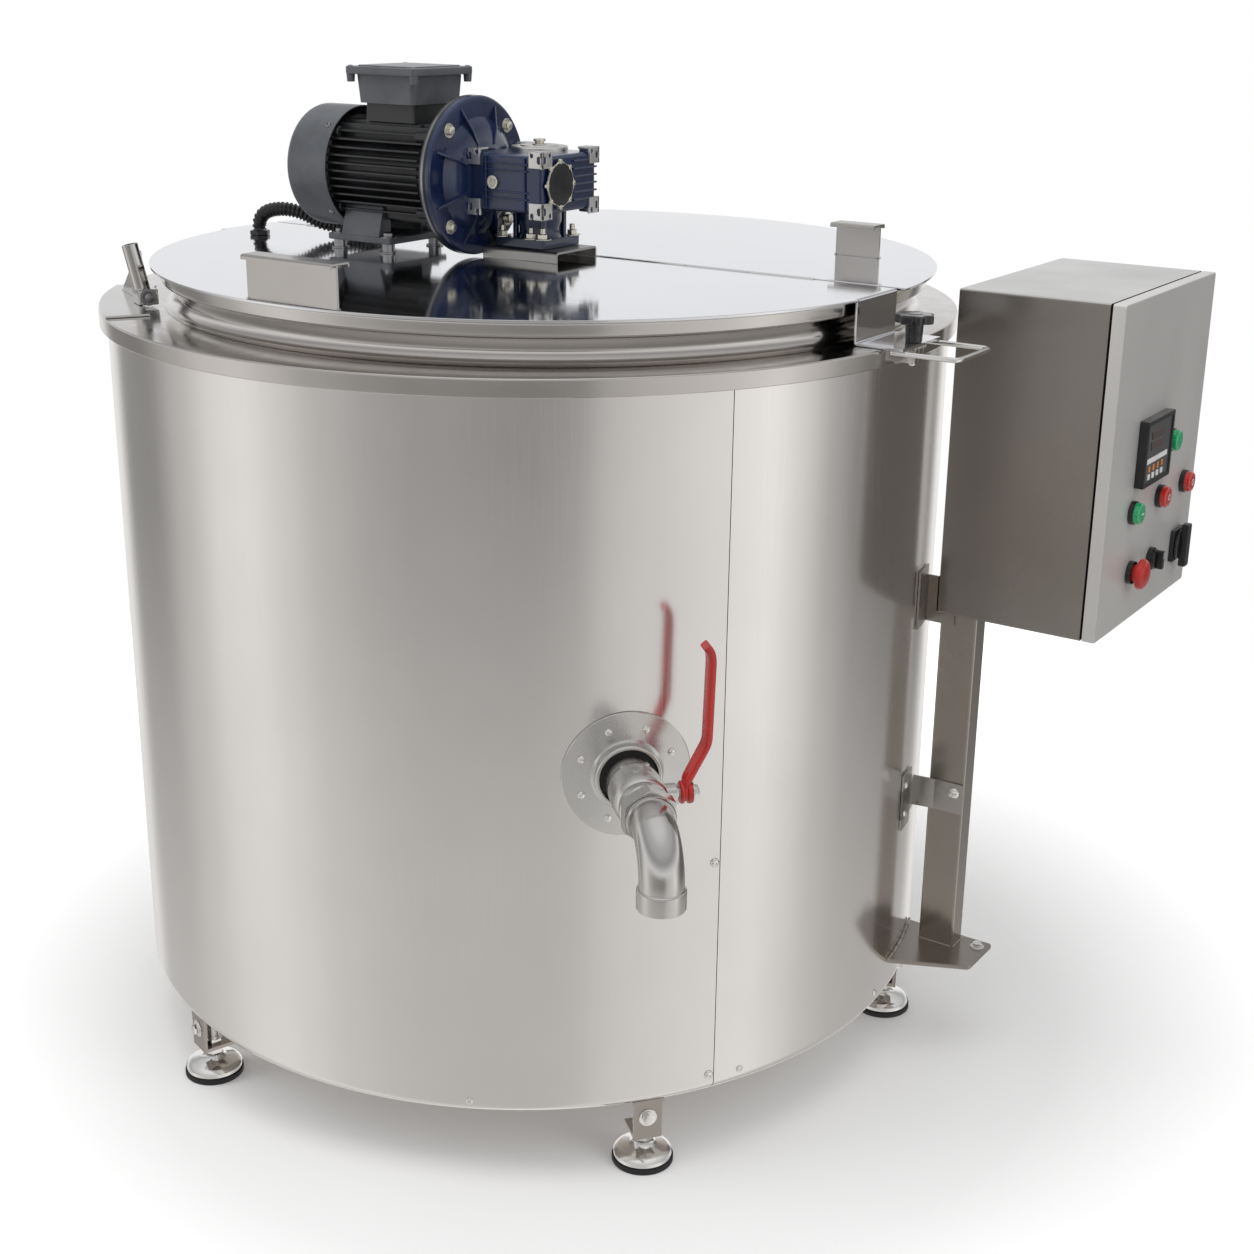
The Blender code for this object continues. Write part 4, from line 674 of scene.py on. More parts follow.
def build_vessel():
    wall = NECK_R - 0.002
    corner = 0.030
    slope = (FLOOR_EDGE - FLOOR_CENTRE) / (wall - DRAIN_R)
    inside = [(DRAIN_R, FLOOR_CENTRE), (wall - corner, FLOOR_EDGE - corner * slope)]
    inside += arc((wall - corner, FLOOR_EDGE + corner - 0.003), corner, -84, 0, 8)
    top = [(wall, NECK_TOP - 0.006)] + arc((wall + 0.006, NECK_TOP - 0.006), 0.006, 180, 90, 5)
    bead = arc((BEAD_R - 0.004, NECK_TOP - 0.004), 0.004, 90, 0, 5)
    bead += arc((BEAD_R - 0.003, 1.0210), 0.003, 0, -80, 4)
    bead += [(NECK_R + 0.0065, 1.0168), (NECK_R + 0.0035, 1.0140)]
    fillet_r = 0.0145
    skirt = RIM_TOP + GAP
    sweep = [(NECK_R + 0.0005 + fillet_r * (1 - cos(radians(a))),
              skirt + 0.0165 * (1 - sin(radians(a)))) for a in range(0, 91, 10)]
    under = [(NECK_R + 0.004, skirt), (NECK_R, skirt)]
    outside = arc((wall - corner, FLOOR_EDGE + corner - 0.003), corner + 0.002, 0, -84, 8)
    outside += [(wall - corner, FLOOR_EDGE - corner * slope - 0.002),
                (DRAIN_R, FLOOR_CENTRE - 0.002)]
    Shape().lathe(inside + top + bead + sweep + under + outside, ROUND,
                  Matrix.Translation((VESSEL_X, VESSEL_Y, 0))).piece(
        "vessel_skin", "tank", "steel", RIM_STEEL, ["inner_vessel"], 50, False)


# ---------------------------------------------------------------- lid

def lid_outline(front):
    """Half of the round lid, cut along the seam."""
    edge = SEAM_Y - SEAM_HALF if front else SEAM_Y + SEAM_HALF
    lift = math.degrees(math.asin((edge - VESSEL_Y) / LID_R))
    start, end = (180 - lift, 360 + lift) if front else (lift, 180 - lift)
    points = arc((VESSEL_X, VESSEL_Y), LID_R, start, end, 150)
    if front:
        corner = sqrt(LID_R ** 2 - (TONGUE_Y - TONGUE_WIDTH / 2 - VESSEL_Y) ** 2) + VESSEL_X
        kept = [p for p in points if not (p[0] > 0.4 and p[1] > TONGUE_Y - TONGUE_WIDTH / 2)]
        points = kept + [(corner, TONGUE_Y - TONGUE_WIDTH / 2),
                         (TONGUE_X - 0.002, TONGUE_Y - TONGUE_WIDTH / 2), (TONGUE_X - 0.002, edge)]
    return points


def build_lids():
    middle = plane_z(LID_BOTTOM + LID_SHEET / 2)
    lid = Shape()
    shaft = circle(0.0165, 32, centre=(DRIVE_X, DRIVE_Y))[::-1]
    lid.prism(lid_outline(True), LID_SHEET, middle, 0.0006, [shaft])
    half = LID_SHEET / 2
    foot = RIM_TOP + 0.0005 + half
    fold = ribbon([(TONGUE_X - 0.002, LID_BOTTOM + half), (TONGUE_X + half, LID_BOTTOM + half),
                   (TONGUE_X + half, foot), (TONGUE_END, foot)], LID_SHEET, 0.0045)
    lid.prism(fold, TONGUE_WIDTH, plane_y(TONGUE_Y), 0.0004)
    lid.box((HINGE_X - 0.003, -0.060, LID_BOTTOM - 0.006), (-0.473, 0.010, LID_BOTTOM), 0.0008)
    lid.lathe([(0.0062, 0.078), (0.0062, 0.0), (0.0036, 0.0), (0.0036, 0.078)], 28,
              aim((HINGE_X, -0.064, HINGE_Z), (0, 1, 0)))
    lid.piece("front_lid_plate", FRONT_LID, "steel", LID_STEEL, ["front_lid"], 30)

    flap = Shape().prism(lid_outline(False), LID_SHEET, middle, 0.0006)
    flap.box((-0.420, SEAM_Y + 0.0045, LID_BOTTOM - 0.0014), (0.400, SEAM_Y + 0.023, LID_BOTTOM))
    knuckles(flap, 1, SEAM_Y + 0.0050)
    flap.piece("rear_lid_plate", "rear_lid_assembly", "steel", LID_STEEL, ["rear_lid"], 30)

    hinge = Shape().box((-0.420, SEAM_Y - 0.022, LID_BOTTOM - 0.0017),
                        (0.400, SEAM_Y - 0.0045, LID_BOTTOM - 0.0003))
    knuckles(hinge, 0, SEAM_Y - 0.0050)
    hinge.lathe([(0, 0.819), (0.0010, 0.819), (0.0010, 0), (0, 0)], 16,
                aim((-0.4195, SEAM_Y, FLAP_AXIS_Z), (1, 0, 0)))
    hinge.piece("seam_hinge", FRONT_LID, "steel", BRIGHT_STEEL, ["flap_hinge"])


def knuckles(shape, first, root):
    """Every second rolled knuckle of the seam hinge, with the tab that holds it."""
    start, length, count = -0.420, 0.0911, 9
    for i in range(first, count, 2):
        a, b = start + length * i + 0.0005, start + length * (i + 1) - 0.0005
        shape.lathe([(0.0026, b - a), (0.0026, 0), (0.0014, 0), (0.0014, b - a)], 20,
                    aim((a, SEAM_Y, FLAP_AXIS_Z), (1, 0, 0)))
        near, far = sorted((root, SEAM_Y + math.copysign(0.0008, root - SEAM_Y)))
        shape.box((a, near, LID_BOTTOM - 0.0016), (b, far, LID_BOTTOM - 0.0004))


def sheet_handle(name, body, span, y, height, lip, node):
    """An upright plate welded to the lid, with a finger lip along its top."""
    low = LID_TOP + 0.0002
    top = LID_TOP + height
    handle = Shape()
    handle.prism(rounded((span[0], low), (span[1], top - 0.0015), 0.0008), 0.003, plane_y(y), 0.0005)
    near, far = y + lip[0] + 0.0013, y + lip[1] - 0.0013
    fold = ribbon([(near, top - 0.0058), (near, top - 0.0014), (far, top - 0.0014),
                   (far, top - 0.0058)], 0.0026, 0.0022)
    centre = (span[0] + span[1]) / 2
    handle.prism(fold, span[1] - span[0], plane_x(centre), 0.0004)
    for x in (span[0] + 0.0005, span[1] - 0.0005):
        beads = [(x, y - 0.0022 + 0.0044 * i / 3, low + 0.0004) for i in range(4)]
        for bead in beads:
            handle.lathe([(0, 0.0010), (0.0014, 0.0006), (0.0020, 0), (0, 0)], 10,
                         Matrix.Translation(bead))
    handle.piece(name, body, "steel", PLATE_STEEL, [node])


def build_clamp():
    """Lobed knob on its stud, and the wire handle under the tongue."""
    seat = RIM_TOP + 0.0005 + LID_SHEET + 0.0003
    at = Matrix.Translation((KNOB_X, TONGUE_Y, 0))
    knob = Shape()
    knob.prism(circle(0.0213, 112, 0.0020, 7), 0.0105, at @ plane_z(seat + 0.0267), 0.0022)
    knob.lathe([(0, seat + 0.0325), (0.0085, seat + 0.0325), (0.0105, seat + 0.0310),
                (0.0105, seat + 0.0200), (0.0098, seat + 0.0010), (0.0092, seat), (0, seat)], 40, at)
    knob.piece("knob_head", "clamp", "black_plastic", KNOB_BLACK, ["clamp_knob"])
    stud = Shape().lathe([(0, seat + 0.0005), (0.0040, seat + 0.0005), (0.0040, 0.9640),
                          (0.0030, 0.9622), (0, 0.9622)], 20, at)
    thread(stud, at, 0.0039, 0.9645, seat - 0.001, 0.00125, 0.0004)
    stud.piece("knob_stud", "clamp", "bright_steel", BRIGHT_STEEL)

    wire_z = RIM_TOP - 0.0030
    near, far = TONGUE_Y - TONGUE_WIDTH / 2 + 0.006, TONGUE_Y + TONGUE_WIDTH / 2 - 0.0035
    path = round_bends([(0.553, near, wire_z), (0.634, near, wire_z), (0.634, far, wire_z),
                        (0.553, far, wire_z)], 0.010, 8)
    Shape().tube(path, 0.003, 18).piece("wire_loop", FRONT_LID, "bright_steel",
                                        BRIGHT_STEEL, ["wire_handle"])


def thread(shape, place, radius, low, high, pitch, depth):
    """A row of ridges that stand for a screw thread."""
    count = int((high - low) / pitch)
    profile = [(0, low + pitch * count)]
    for i in range(count, 0, -1):
        profile += [(radius, low + pitch * i), (radius + depth, low + pitch * (i - 0.5))]
    profile += [(radius, low), (0, low)]
    shape.lathe(profile, 20, place)


def build_lid_hinge():
    low = RIM_TOP + GAP
    y0, y1 = -0.0705, 0.0205
    hinge = Shape().box((-0.543, y0, low), (-0.487, y1, low + 0.004), 0.0008)
    for a, b in ((y0, y0 + 0.005), (y1 - 0.005, y1)):
        outline = [(HINGE_X - 0.014, low + 0.003), (HINGE_X + 0.007, low + 0.003)]
        outline += arc((HINGE_X, HINGE_Z), 0.0068, 0, 180, 12)
        hinge.prism(outline, b - a, plane_y((a + b) / 2), 0.0005)
    hinge.lathe([(0, 0.092), (0.0031, 0.092), (0.0031, 0.0), (0, 0)], 20,
                aim((HINGE_X, y0 - 0.0005, HINGE_Z), (0, 1, 0)))
    for y in (y0 + 0.022, y1 - 0.022):
        hex_head(hinge, Matrix.Translation((-0.532, y, low + 0.004)), 0.010, 0.005)
    hinge.piece("hinge_bracket", "tank", "steel", RIM_STEEL, ["lid_hinge"])


# ---------------------------------------------------------------- drive

def build_channel():
    y0, y1 = CHANNEL_LOW[1], CHANNEL_HIGH[1]
    line = [(y0 + 0.0015, LID_TOP + GAP), (y0 + 0.0015, CHANNEL_TOP - 0.0015),
            (y1 - 0.0015, CHANNEL_TOP - 0.0015), (y1 - 0.0015, LID_TOP + GAP)]
    channel = Shape().prism(ribbon(line, 0.003, 0.0035), CHANNEL_HIGH[0] - CHANNEL_LOW[0],
                            plane_x((CHANNEL_LOW[0] + CHANNEL_HIGH[0]) / 2), 0.0003)
    channel.piece("channel_plate", FRONT_LID, "steel", CHANNEL_STEEL,
                  ["drive_channel"])


def slotted_lug(shape, place, mirror):
    """A machined pad with a round hole and an open slot, 21 by 20 mm, centred on its place."""
    outline = [(-0.0105, -0.010), (0.0035, -0.010), (0.0035, -0.0045)]
    outline += arc((0.0057, -0.0045), 0.0022, 180, 0, 6)
    outline += [(0.0079, -0.0045), (0.0079, -0.010), (0.0105, -0.010), (0.0105, 0.010),
                (-0.0105, 0.010)]
    hole = rounded((-0.0078, -0.0045), (-0.0025, 0.0045), 0.0024)[::-1]
    if mirror:
        outline = [(-x, y) for x, y in outline][::-1]
        hole = [(-x, y) for x, y in hole][::-1]
    shape.prism(outline, 0.0036, place, 0.0007, [hole])


def build_gearbox():
    low, high = Vector(GEAR_LOW), Vector(GEAR_HIGH)
    case = Shape()
    case.box(low + Vector((0.0035, 0.0035, 0.006)), high - Vector((0.0035, 0.0035, 0.006)), 0.0045,
             None, 3)
    lug = 0.021
    for x in (low.x, high.x - lug):
        for y in (low.y, high.y - lug):
            for z in (low.z, high.z - 0.020):
                case.box((x + 0.0020, y + 0.0020, z + 0.0010),
                         (x + lug - 0.0020, y + lug - 0.0020, z + 0.0190), 0.0020)
    for z in (1.1190, 1.1270, 1.1530, 1.1610):
        case.box((low.x + 0.024, low.y + 0.0012, z), (high.x - 0.024, low.y + 0.006, z + 0.0022),
                 0.0008)
        case.box((low.x + 0.022, high.y - 0.006, z), (high.x - 0.022, high.y - 0.0012, z + 0.0022),
                 0.0008)
    for i in range(6):
        z = 1.1150 + i * 0.0095
        case.box((high.x - 0.006, -0.038, z), (high.x - 0.0006, 0.0120, z + 0.0024), 0.0009)
    for x in (low.x + 0.0280, high.x - 0.0300):
        case.box((x, low.y + 0.0010, low.z + 0.008), (x + 0.0026, low.y + 0.006, high.z - 0.008),
                 0.0009)
    build_output_neck(case)
    build_bell(case)
    case.piece("gearbox_case", FRONT_LID, "navy_paint", NAVY, ["gearbox_housing"])
    build_gearbox_trim(low, high, lug)


def build_output_neck(case):
    foot = CHANNEL_TOP + GAP
    case.prism(rounded(BASE_LOW, BASE_HIGH, 0.004), 0.0120, plane_z(foot + 0.0060), 0.0012)
    case.lathe([(0, 1.0990), (0.0285, 1.0990), (0.0285, 1.0860), (0.0262, 1.0800),
                (0.0262, foot + 0.018), (0.0290, foot + 0.011), (0, foot + 0.011)], 40,
               Matrix.Translation((DRIVE_X, DRIVE_Y, 0)))
    for x, y in ((-1, -1), (1, -1), (-1, 1), (1, 1)):
        case.box((DRIVE_X + x * 0.0215 - 0.003, DRIVE_Y + y * 0.0215 - 0.003, foot + 0.010),
                 (DRIVE_X + x * 0.0215 + 0.003, DRIVE_Y + y * 0.0215 + 0.003, 1.0980), 0.0010)


def build_bell(case):
    """The input bell: a flat flange, a dished cone and radial ribs, turned about the worm."""
    at = on_worm(FLANGE_FACE)
    case.lathe([(0, 0.0240), (0.0340, 0.0240), (0.0390, 0.0215), (0.0460, 0.0200), (0.0560, 0.0175),
                (0.0640, 0.0140), (0.0690, 0.0105), (0.0720, 0.0085), (0.0900, 0.0085),
                (0.0960, 0.0080), (FLANGE_R, 0.0060), (FLANGE_R, 0.0006), (FLANGE_R - 0.001, 0),
                (0, 0)], 96, at)
    for i in range(8):
        turn = Matrix.Rotation(radians(22.5 + 45 * i), 4, "X")
        rib = [(0.0420, 0.0180), (0.0420, 0.0225), (0.0620, 0.0200), (0.0900, 0.0095),
               (0.0900, 0.0075), (0.0640, 0.0075)]
        place = Matrix.Translation((FLANGE_FACE, WORM_Y, WORM_Z)) @ turn
        case.prism([(z, r) for r, z in rib], 0.0030, place @ plane_y(0.0), 0.0008)


def build_gearbox_trim(low, high, lug):
    """Machined pads, plugs, the worm cover and the bolts."""
    pads = Shape()
    for side in (0, 1):
        x = (low.x + lug / 2, high.x - lug / 2)[side]
        y_in = (low.y + lug / 2, high.y - lug / 2)[side]
        for z, flip in ((low.z + 0.010, False), (high.z - 0.010, True)):
            tilt = Matrix.Rotation(pi if flip else 0.0, 4, "Z")
            for at, face in (((x, low.y + 0.0018, z), plane_y(0)),
                             ((x, high.y - 0.0018, z), plane_y(0)),
                             ((high.x - 0.0018, y_in, z), plane_x(0)),
                             ((low.x + 0.0018, y_in, z), plane_x(0))):
                slotted_lug(pads, Matrix.Translation(at) @ face @ tilt, side ^ flip)
    for x in (low.x + lug / 2, high.x - lug / 2):
        for y in (low.y + lug / 2, high.y - lug / 2):
            pads.box((x - 0.0095, y - 0.0095, high.z - 0.0030), (x + 0.0095, y + 0.0095, high.z),
                     0.0008)
    top = Matrix.Translation((DRIVE_X, DRIVE_Y, high.z - 0.006))
    pads.lathe([(0, 0.0072), (0.0240, 0.0072), (0.0250, 0.0060), (0.0300, 0.0060), (0.0350, 0.0058),
                (0.0362, 0.0045), (0.0362, 0), (0, 0)], 56, top)
    pads.piece("gearbox_pads", FRONT_LID, "bright_steel", LUG_ALUMINIUM)

    cover = Shape()
    ring_at = plane_x(high.x + 0.0012)
    centre = (WORM_Y, WORM_Z - 0.0025)
    cover.prism(circle(0.0272, 160, 0.0010, 8, centre), 0.0030, ring_at, 0.0006,
                [circle(0.0256, 64, centre=centre)[::-1]])
    for i in range(8):
        turn = 2 * pi * i / 8
        y, z = centre[0] + 0.0276 * cos(turn), centre[1] + 0.0276 * sin(turn)
        cover.lathe([(0.0022, 0.0031), (0.0031, 0.0026), (0.0031, 0), (0.0012, 0), (0.0012, 0.0031)],
                    18, aim((high.x - 0.0002, y, z), (1, 0, 0)))
    cover.piece("cover_ring", FRONT_LID, "steel", CREAM)
    cap = Shape().lathe([(0, 0.0030), (0.0165, 0.0029), (0.0242, 0.0024), (0.0254, 0.0014),
                         (0.0256, 0), (0, 0)], 64, aim((high.x, *centre), (1, 0, 0)))
    cap.piece("worm_cap", FRONT_LID, "black_plastic", BLACK_PLASTIC)

    metal = Shape()
    plug = aim((0.016, low.y + 0.0030, WORM_Z - 0.002), (0, -1, 0))
    metal.prism(circle(0.0085, 36), 0.0040, plug @ plane_z(0.0008), 0.0007, [hexagon(0.0082)[::-1]])
    metal.lathe([(0, 0.0006), (0.006, 0.0006), (0.006, 0), (0, 0)], 20, plug)
    breather = Matrix.Translation((DRIVE_X, DRIVE_Y, high.z - 0.0006))
    metal.lathe([(0, 0.0090), (0.0066, 0.0090), (0.0078, 0.0080), (0.0078, 0.0060), (0.0058, 0.0055),
                 (0.0058, 0.0035), (0.0090, 0.0030), (0.0090, 0), (0, 0)], 32, breather)
    foot = CHANNEL_TOP + 0.0123
    for x, y in ((-0.0105, -0.0495), (0.0525, -0.0495), (-0.0105, 0.0145), (0.0525, 0.0145),
                 (0.0360, -0.0515)):
        spot = Matrix.Translation((x, y, foot))
        hex_head(metal, spot, 0.0115, 0.0060)
        metal.lathe([(0, 0.0140), (0.0030, 0.0140), (0.0036, 0.0130), (0.0036, 0.004), (0, 0.004)],
                    16, spot)
    bell = on_worm(FLANGE_FACE + 0.0085)
    for i in range(4):
        turn = radians(45 + 90 * i)
        spot = bell @ Matrix.Translation((0.0825 * cos(turn), 0.0825 * sin(turn), 0))
        hex_head(metal, spot, 0.0095, 0.0050)
    metal.piece("gearbox_bolts", FRONT_LID, "bright_steel", ZINC)


def build_motor():
    """Ribbed motor casing: end shields, cooling ribs, foot and its bolts."""
    casing = Shape()
    at = on_worm(MOTOR_END)
    back = FLANGE_FACE - GAP - MOTOR_END
    casing.lathe([(0, back), (FLANGE_R - 0.0005, back), (FLANGE_R, back - 0.0010),
                  (FLANGE_R, back - 0.0080), (FLANGE_R - 0.001, back - 0.0090),
                  (0.0870, back - 0.0100), (0.0740, back - 0.0170), (0.0690, back - 0.0240),
                  (0.0670, back - 0.0330), (0.0560, back - 0.0340), (0.0560, 0.0150),
                  (0.0660, 0.0140), (0.0680, 0.0120), (0.0680, 0.0020), (0.0640, 0.0), (0, 0)],
                 72, at)
    start, end = MOTOR_END + 0.010, FLANGE_FACE - 0.036
    for i in range(-5, 6):
        z = i * RIB_PITCH
        reach = sqrt(RIB_R ** 2 - z ** 2)
        inner = sqrt(max(RIB_ROOT ** 2 - z ** 2, 0.0))
        for side in (-1, 1):
            y0, y1 = sorted((WORM_Y + side * inner * 0.97, WORM_Y + side * reach))
            casing.box((start, y0, WORM_Z + z - RIB_HALF), (end, y1, WORM_Z + z + RIB_HALF), 0.0007)
    for i in range(-4, 5):
        y = i * RIB_PITCH
        reach = sqrt(RIB_R ** 2 - y ** 2)
        inner = sqrt(RIB_ROOT ** 2 - y ** 2) * 0.97
        for side in (-1, 1):
            z0, z1 = sorted((WORM_Z + side * inner, WORM_Z + side * min(reach, 0.0615)))
            casing.box((start, WORM_Y + y - RIB_HALF, z0), (end, WORM_Y + y + RIB_HALF, z1), 0.0007)
    for turn in (45, 135, 225, 315):
        y, z = WORM_Y + 0.0655 * cos(radians(turn)), WORM_Z + 0.0655 * sin(radians(turn))
        for x0, x1 in ((start - 0.004, start + 0.012), (end - 0.016, end + 0.006)):
            casing.lathe([(0, x1 - x0), (0.0062, x1 - x0), (0.0075, x1 - x0 - 0.0015), (0.0075, 0.0015),
                          (0.0062, 0), (0, 0)], 20, aim((x0, y, z), (1, 0, 0)))
    middle = TERMINAL_X
    casing.box((middle - 0.046, WORM_Y - 0.036, WORM_Z + 0.052),
               (middle + 0.046, WORM_Y + 0.036, WORM_Z + 0.0620), 0.003)
    casing.piece("motor_casing", FRONT_LID, "motor_paint", MOTOR_GREY, ["motor_body"])

    foot = Shape()
    foot_low = LID_TOP + 0.012
    x0, x1 = FLANGE_FACE - 0.198, FLANGE_FACE - 0.092
    for side in (-1, 1):
        legs = [(WORM_Y + side * 0.030, WORM_Z - 0.050), (WORM_Y + side * 0.044, WORM_Z - 0.044),
                (WORM_Y + side * 0.0550, foot_low + 0.0075), (WORM_Y + side * 0.0300, foot_low + 0.007)]
        foot.prism(legs if side < 0 else legs[::-1], 0.064, plane_x(FLANGE_FACE - 0.145), 0.0016)
    foot.prism(rounded((x0, WORM_Y - 0.058), (x1, WORM_Y + 0.058), 0.003), 0.008,
               plane_z(foot_low + 0.004), 0.0012)
    foot.piece("motor_foot", FRONT_LID, "cover_paint", COVER_GREY)
    bolts = Shape()
    for x in (x0 + 0.012, x1 - 0.012):
        for y in (WORM_Y - 0.047, WORM_Y + 0.047):
            bolts.lathe([(0, foot_low), (0.0085, foot_low), (0.0085, LID_TOP + 0.0022),
                         (0.0115, LID_TOP + 0.0020), (0.0115, LID_TOP + GAP),
                         (0, LID_TOP + GAP)], 28, Matrix.Translation((x, y, 0)))
            hex_head(bolts, Matrix.Translation((x, y, foot_low + 0.008)), 0.0105, 0.0050)
    bolts.piece("motor_foot_bolts", FRONT_LID, "dark_steel", DARK_STEEL)
    rim = Shape().lathe([(FLANGE_R + 0.0002, 0.0075), (FLANGE_R + 0.0002, 0.0040),
                         (FLANGE_R - 0.004, 0.0040), (FLANGE_R - 0.004, 0.0075)], 96,
                        on_worm(FLANGE_FACE - 0.0100))
    rim.piece("motor_flange_edge", FRONT_LID, "bright_steel", DARK_STEEL)
    build_cover()
    build_terminal_box()


def build_cover():
    length = COVER_START - COVER_END
    at = on_worm(COVER_END)
    outer = [(COVER_R, length), (COVER_R, 0.0120)] + arc((COVER_R - 0.0120, 0.0120), 0.0120, 0, -80, 6)
    skin = [(r - 0.0014 if r > 0.07 else r, z + 0.0014) for r, z in outer[2:][::-1]]
    cover = Shape().lathe(outer + [(0.0480, 0.0), (0.0480, 0.0014)] + skin
                          + [(COVER_R - 0.0014, length)], 72, at)
    for i in range(10):
        turn = 2 * pi * i / 10
        place = Matrix.Translation((COVER_END + 0.0007, WORM_Y, WORM_Z)) @ Matrix.Rotation(turn, 4, "X")
        cover.box((-0.0007, -0.0022, 0.014), (0.0007, 0.0022, 0.0485), 0.0, place)
    for r in (0.0165, 0.0265, 0.0365):
        cover.lathe([(r + 0.0020, 0.0014), (r + 0.0020, 0), (r - 0.0020, 0), (r - 0.0020, 0.0014)],
                    48, at)
    cover.lathe([(0, 0.0014), (0.0125, 0.0014), (0.0125, 0), (0, 0)], 32, at)
    cover.piece("fan_cowl", FRONT_LID, "cover_paint", COVER_GREY, ["fan_cover"])
    screws = Shape()
    for turn in (45, 135, 225, 315):
        out = Vector((0, cos(radians(turn)), sin(radians(turn))))
        centre = Vector((COVER_START - 0.012, WORM_Y, WORM_Z))
        pan_head(screws, aim(centre + out * (COVER_R - 0.0002), out), 0.0042, 0.0024)
    screws.piece("cowl_screws", FRONT_LID, "dark_steel", DARK_STEEL)


def tapered_box(shape, low, high, inset, bevel):
    """A box whose bottom is smaller than its top."""
    bottom = rounded((low[0] + inset, low[1] + inset), (high[0] - inset, high[1] - inset), bevel)
    top = rounded((low[0], low[1]), (high[0], high[1]), bevel)
    shape.bridge([shape.row((x, y, z) for x, y in points)
                  for points, z in ((bottom, low[2]), (top, high[2]))])


def build_terminal_box():
    middle = TERMINAL_X
    low = WORM_Z + 0.0623
    riser = Shape()
    tapered_box(riser, (middle - 0.0400, WORM_Y - 0.0400, low),
                (middle + 0.0400, WORM_Y + 0.0400, low + 0.0230), -0.0010, 0.004)
    riser.piece("terminal_riser", FRONT_LID, "motor_paint", MOTOR_GREY,
                ["terminal_box"])
    box = Shape()
    tapered_box(box, (middle - 0.0485, WORM_Y - 0.0500, low + 0.0225),
                (middle + 0.0485, WORM_Y + 0.0500, low + 0.0580), 0.0025, 0.008)
    lid = pad(middle, WORM_Y, 0.0575, 0.0595, 0.006)
    box.prism(lid, 0.0095, plane_z(low + 0.0623), 0.0016)
    inner = pad(middle, WORM_Y, 0.0465, 0.0485, 0.006)
    box.prism(inner, 0.0028, plane_z(low + 0.0671), 0.0010)
    corners = [(middle + x * 0.0515, WORM_Y + y * 0.0535) for x in (-1, 1) for y in (-1, 1)]
    for x, y in corners:
        box.lathe([(0, low + 0.0580), (0.0056, low + 0.0580), (0.0048, low + 0.0480),
                   (0, low + 0.0480)], 20, Matrix.Translation((x, y, 0)))
    box.piece("terminal_cover", FRONT_LID, "cover_paint", COVER_GREY)
    screws = Shape()
    for x, y in corners:
        pan_head(screws, Matrix.Translation((x, y, low + 0.0668)), 0.0038, 0.0017)
    gland = aim((middle - 0.0285, WORM_Y + 0.0480, low + 0.0335), (0, 1, 0))
    screws.prism(hexagon(0.023), 0.008, gland @ plane_z(0.004), 0.0008)
    screws.lathe([(0, 0.0145), (0.0100, 0.0145), (0.0108, 0.0130), (0.0108, 0.008), (0, 0.008)], 28,
                 gland)
    screws.piece("terminal_screws", FRONT_LID, "dark_steel", DARK_STEEL)
    build_conduit((middle - 0.0285, WORM_Y + 0.063, low + 0.0335))


CONDUIT_END = (-0.399, -0.089, LID_TOP + 0.0075)
CONDUIT_ROUTE = [(-0.1700, 0.0040, 1.2363), (-0.1715, 0.0110, 1.2315), (-0.175, 0.0145, 1.2200),
                 (-0.181, 0.0160, 1.1950), (-0.190, 0.0155, 1.1500), (-0.203, 0.0120, 1.1050),
                 (-0.225, 0.0060, 1.0730), (-0.258, -0.0050, 1.0560), (-0.292, -0.0260, 1.0520),
                 (-0.318, -0.0500, 1.0580), (-0.338, -0.0680, 1.0710), (-0.358, -0.0790, 1.0760),
                 (-0.378, -0.0860, 1.0740), (-0.392, -0.0885, 1.0670), (-0.399, -0.0890, 1.0560)]


def build_conduit(mouth):
    """Ribbed conduit from the terminal box to its gland in the lid."""
    path = smooth_path([mouth] + CONDUIT_ROUTE + [CONDUIT_END], 0.0014)
    ribs = [(1.0, 0.98, 0.80, 0.80)[i % 4] for i in range(len(path))]
    Shape().tube(path, 0.0097, 16, scales=ribs).piece(
        "ribbed_conduit", FRONT_LID, "black_plastic", BLACK_PLASTIC, ["conduit"], 60,
        False)
    gland = Shape().prism(hexagon(0.024), 0.0060, Matrix.Translation((*CONDUIT_END[:2],
                                                                     LID_TOP + 0.0033)), 0.0008)
    gland.piece("lid_gland", FRONT_LID, "black_plastic", BLACK_PLASTIC)


# ---------------------------------------------------------------- outlet

def outlet_place():
    return (Matrix.Translation((VESSEL_X, VESSEL_Y, OUTLET_Z))
            @ Matrix.Rotation(OUTLET_TURN, 4, "Z"))


def along_outlet(x):
    """Places a shape made along +Z on the outlet's axis, facing outwards."""
    return outlet_place() @ aim((x, 0, 0), (1, 0, 0))


def on_shell(across, up, proud):
    """A point of the outlet frame that lies on the shell, or a little proud of it."""
    shift = VESSEL_X * cos(OUTLET_TURN) + VESSEL_Y * sin(OUTLET_TURN)
    slide = -VESSEL_X * sin(OUTLET_TURN) + VESSEL_Y * cos(OUTLET_TURN)
    reach = sqrt((SHELL_R + proud) ** 2 - (across + slide) ** 2) - shift
    return outlet_place() @ Vector((reach, across, up))


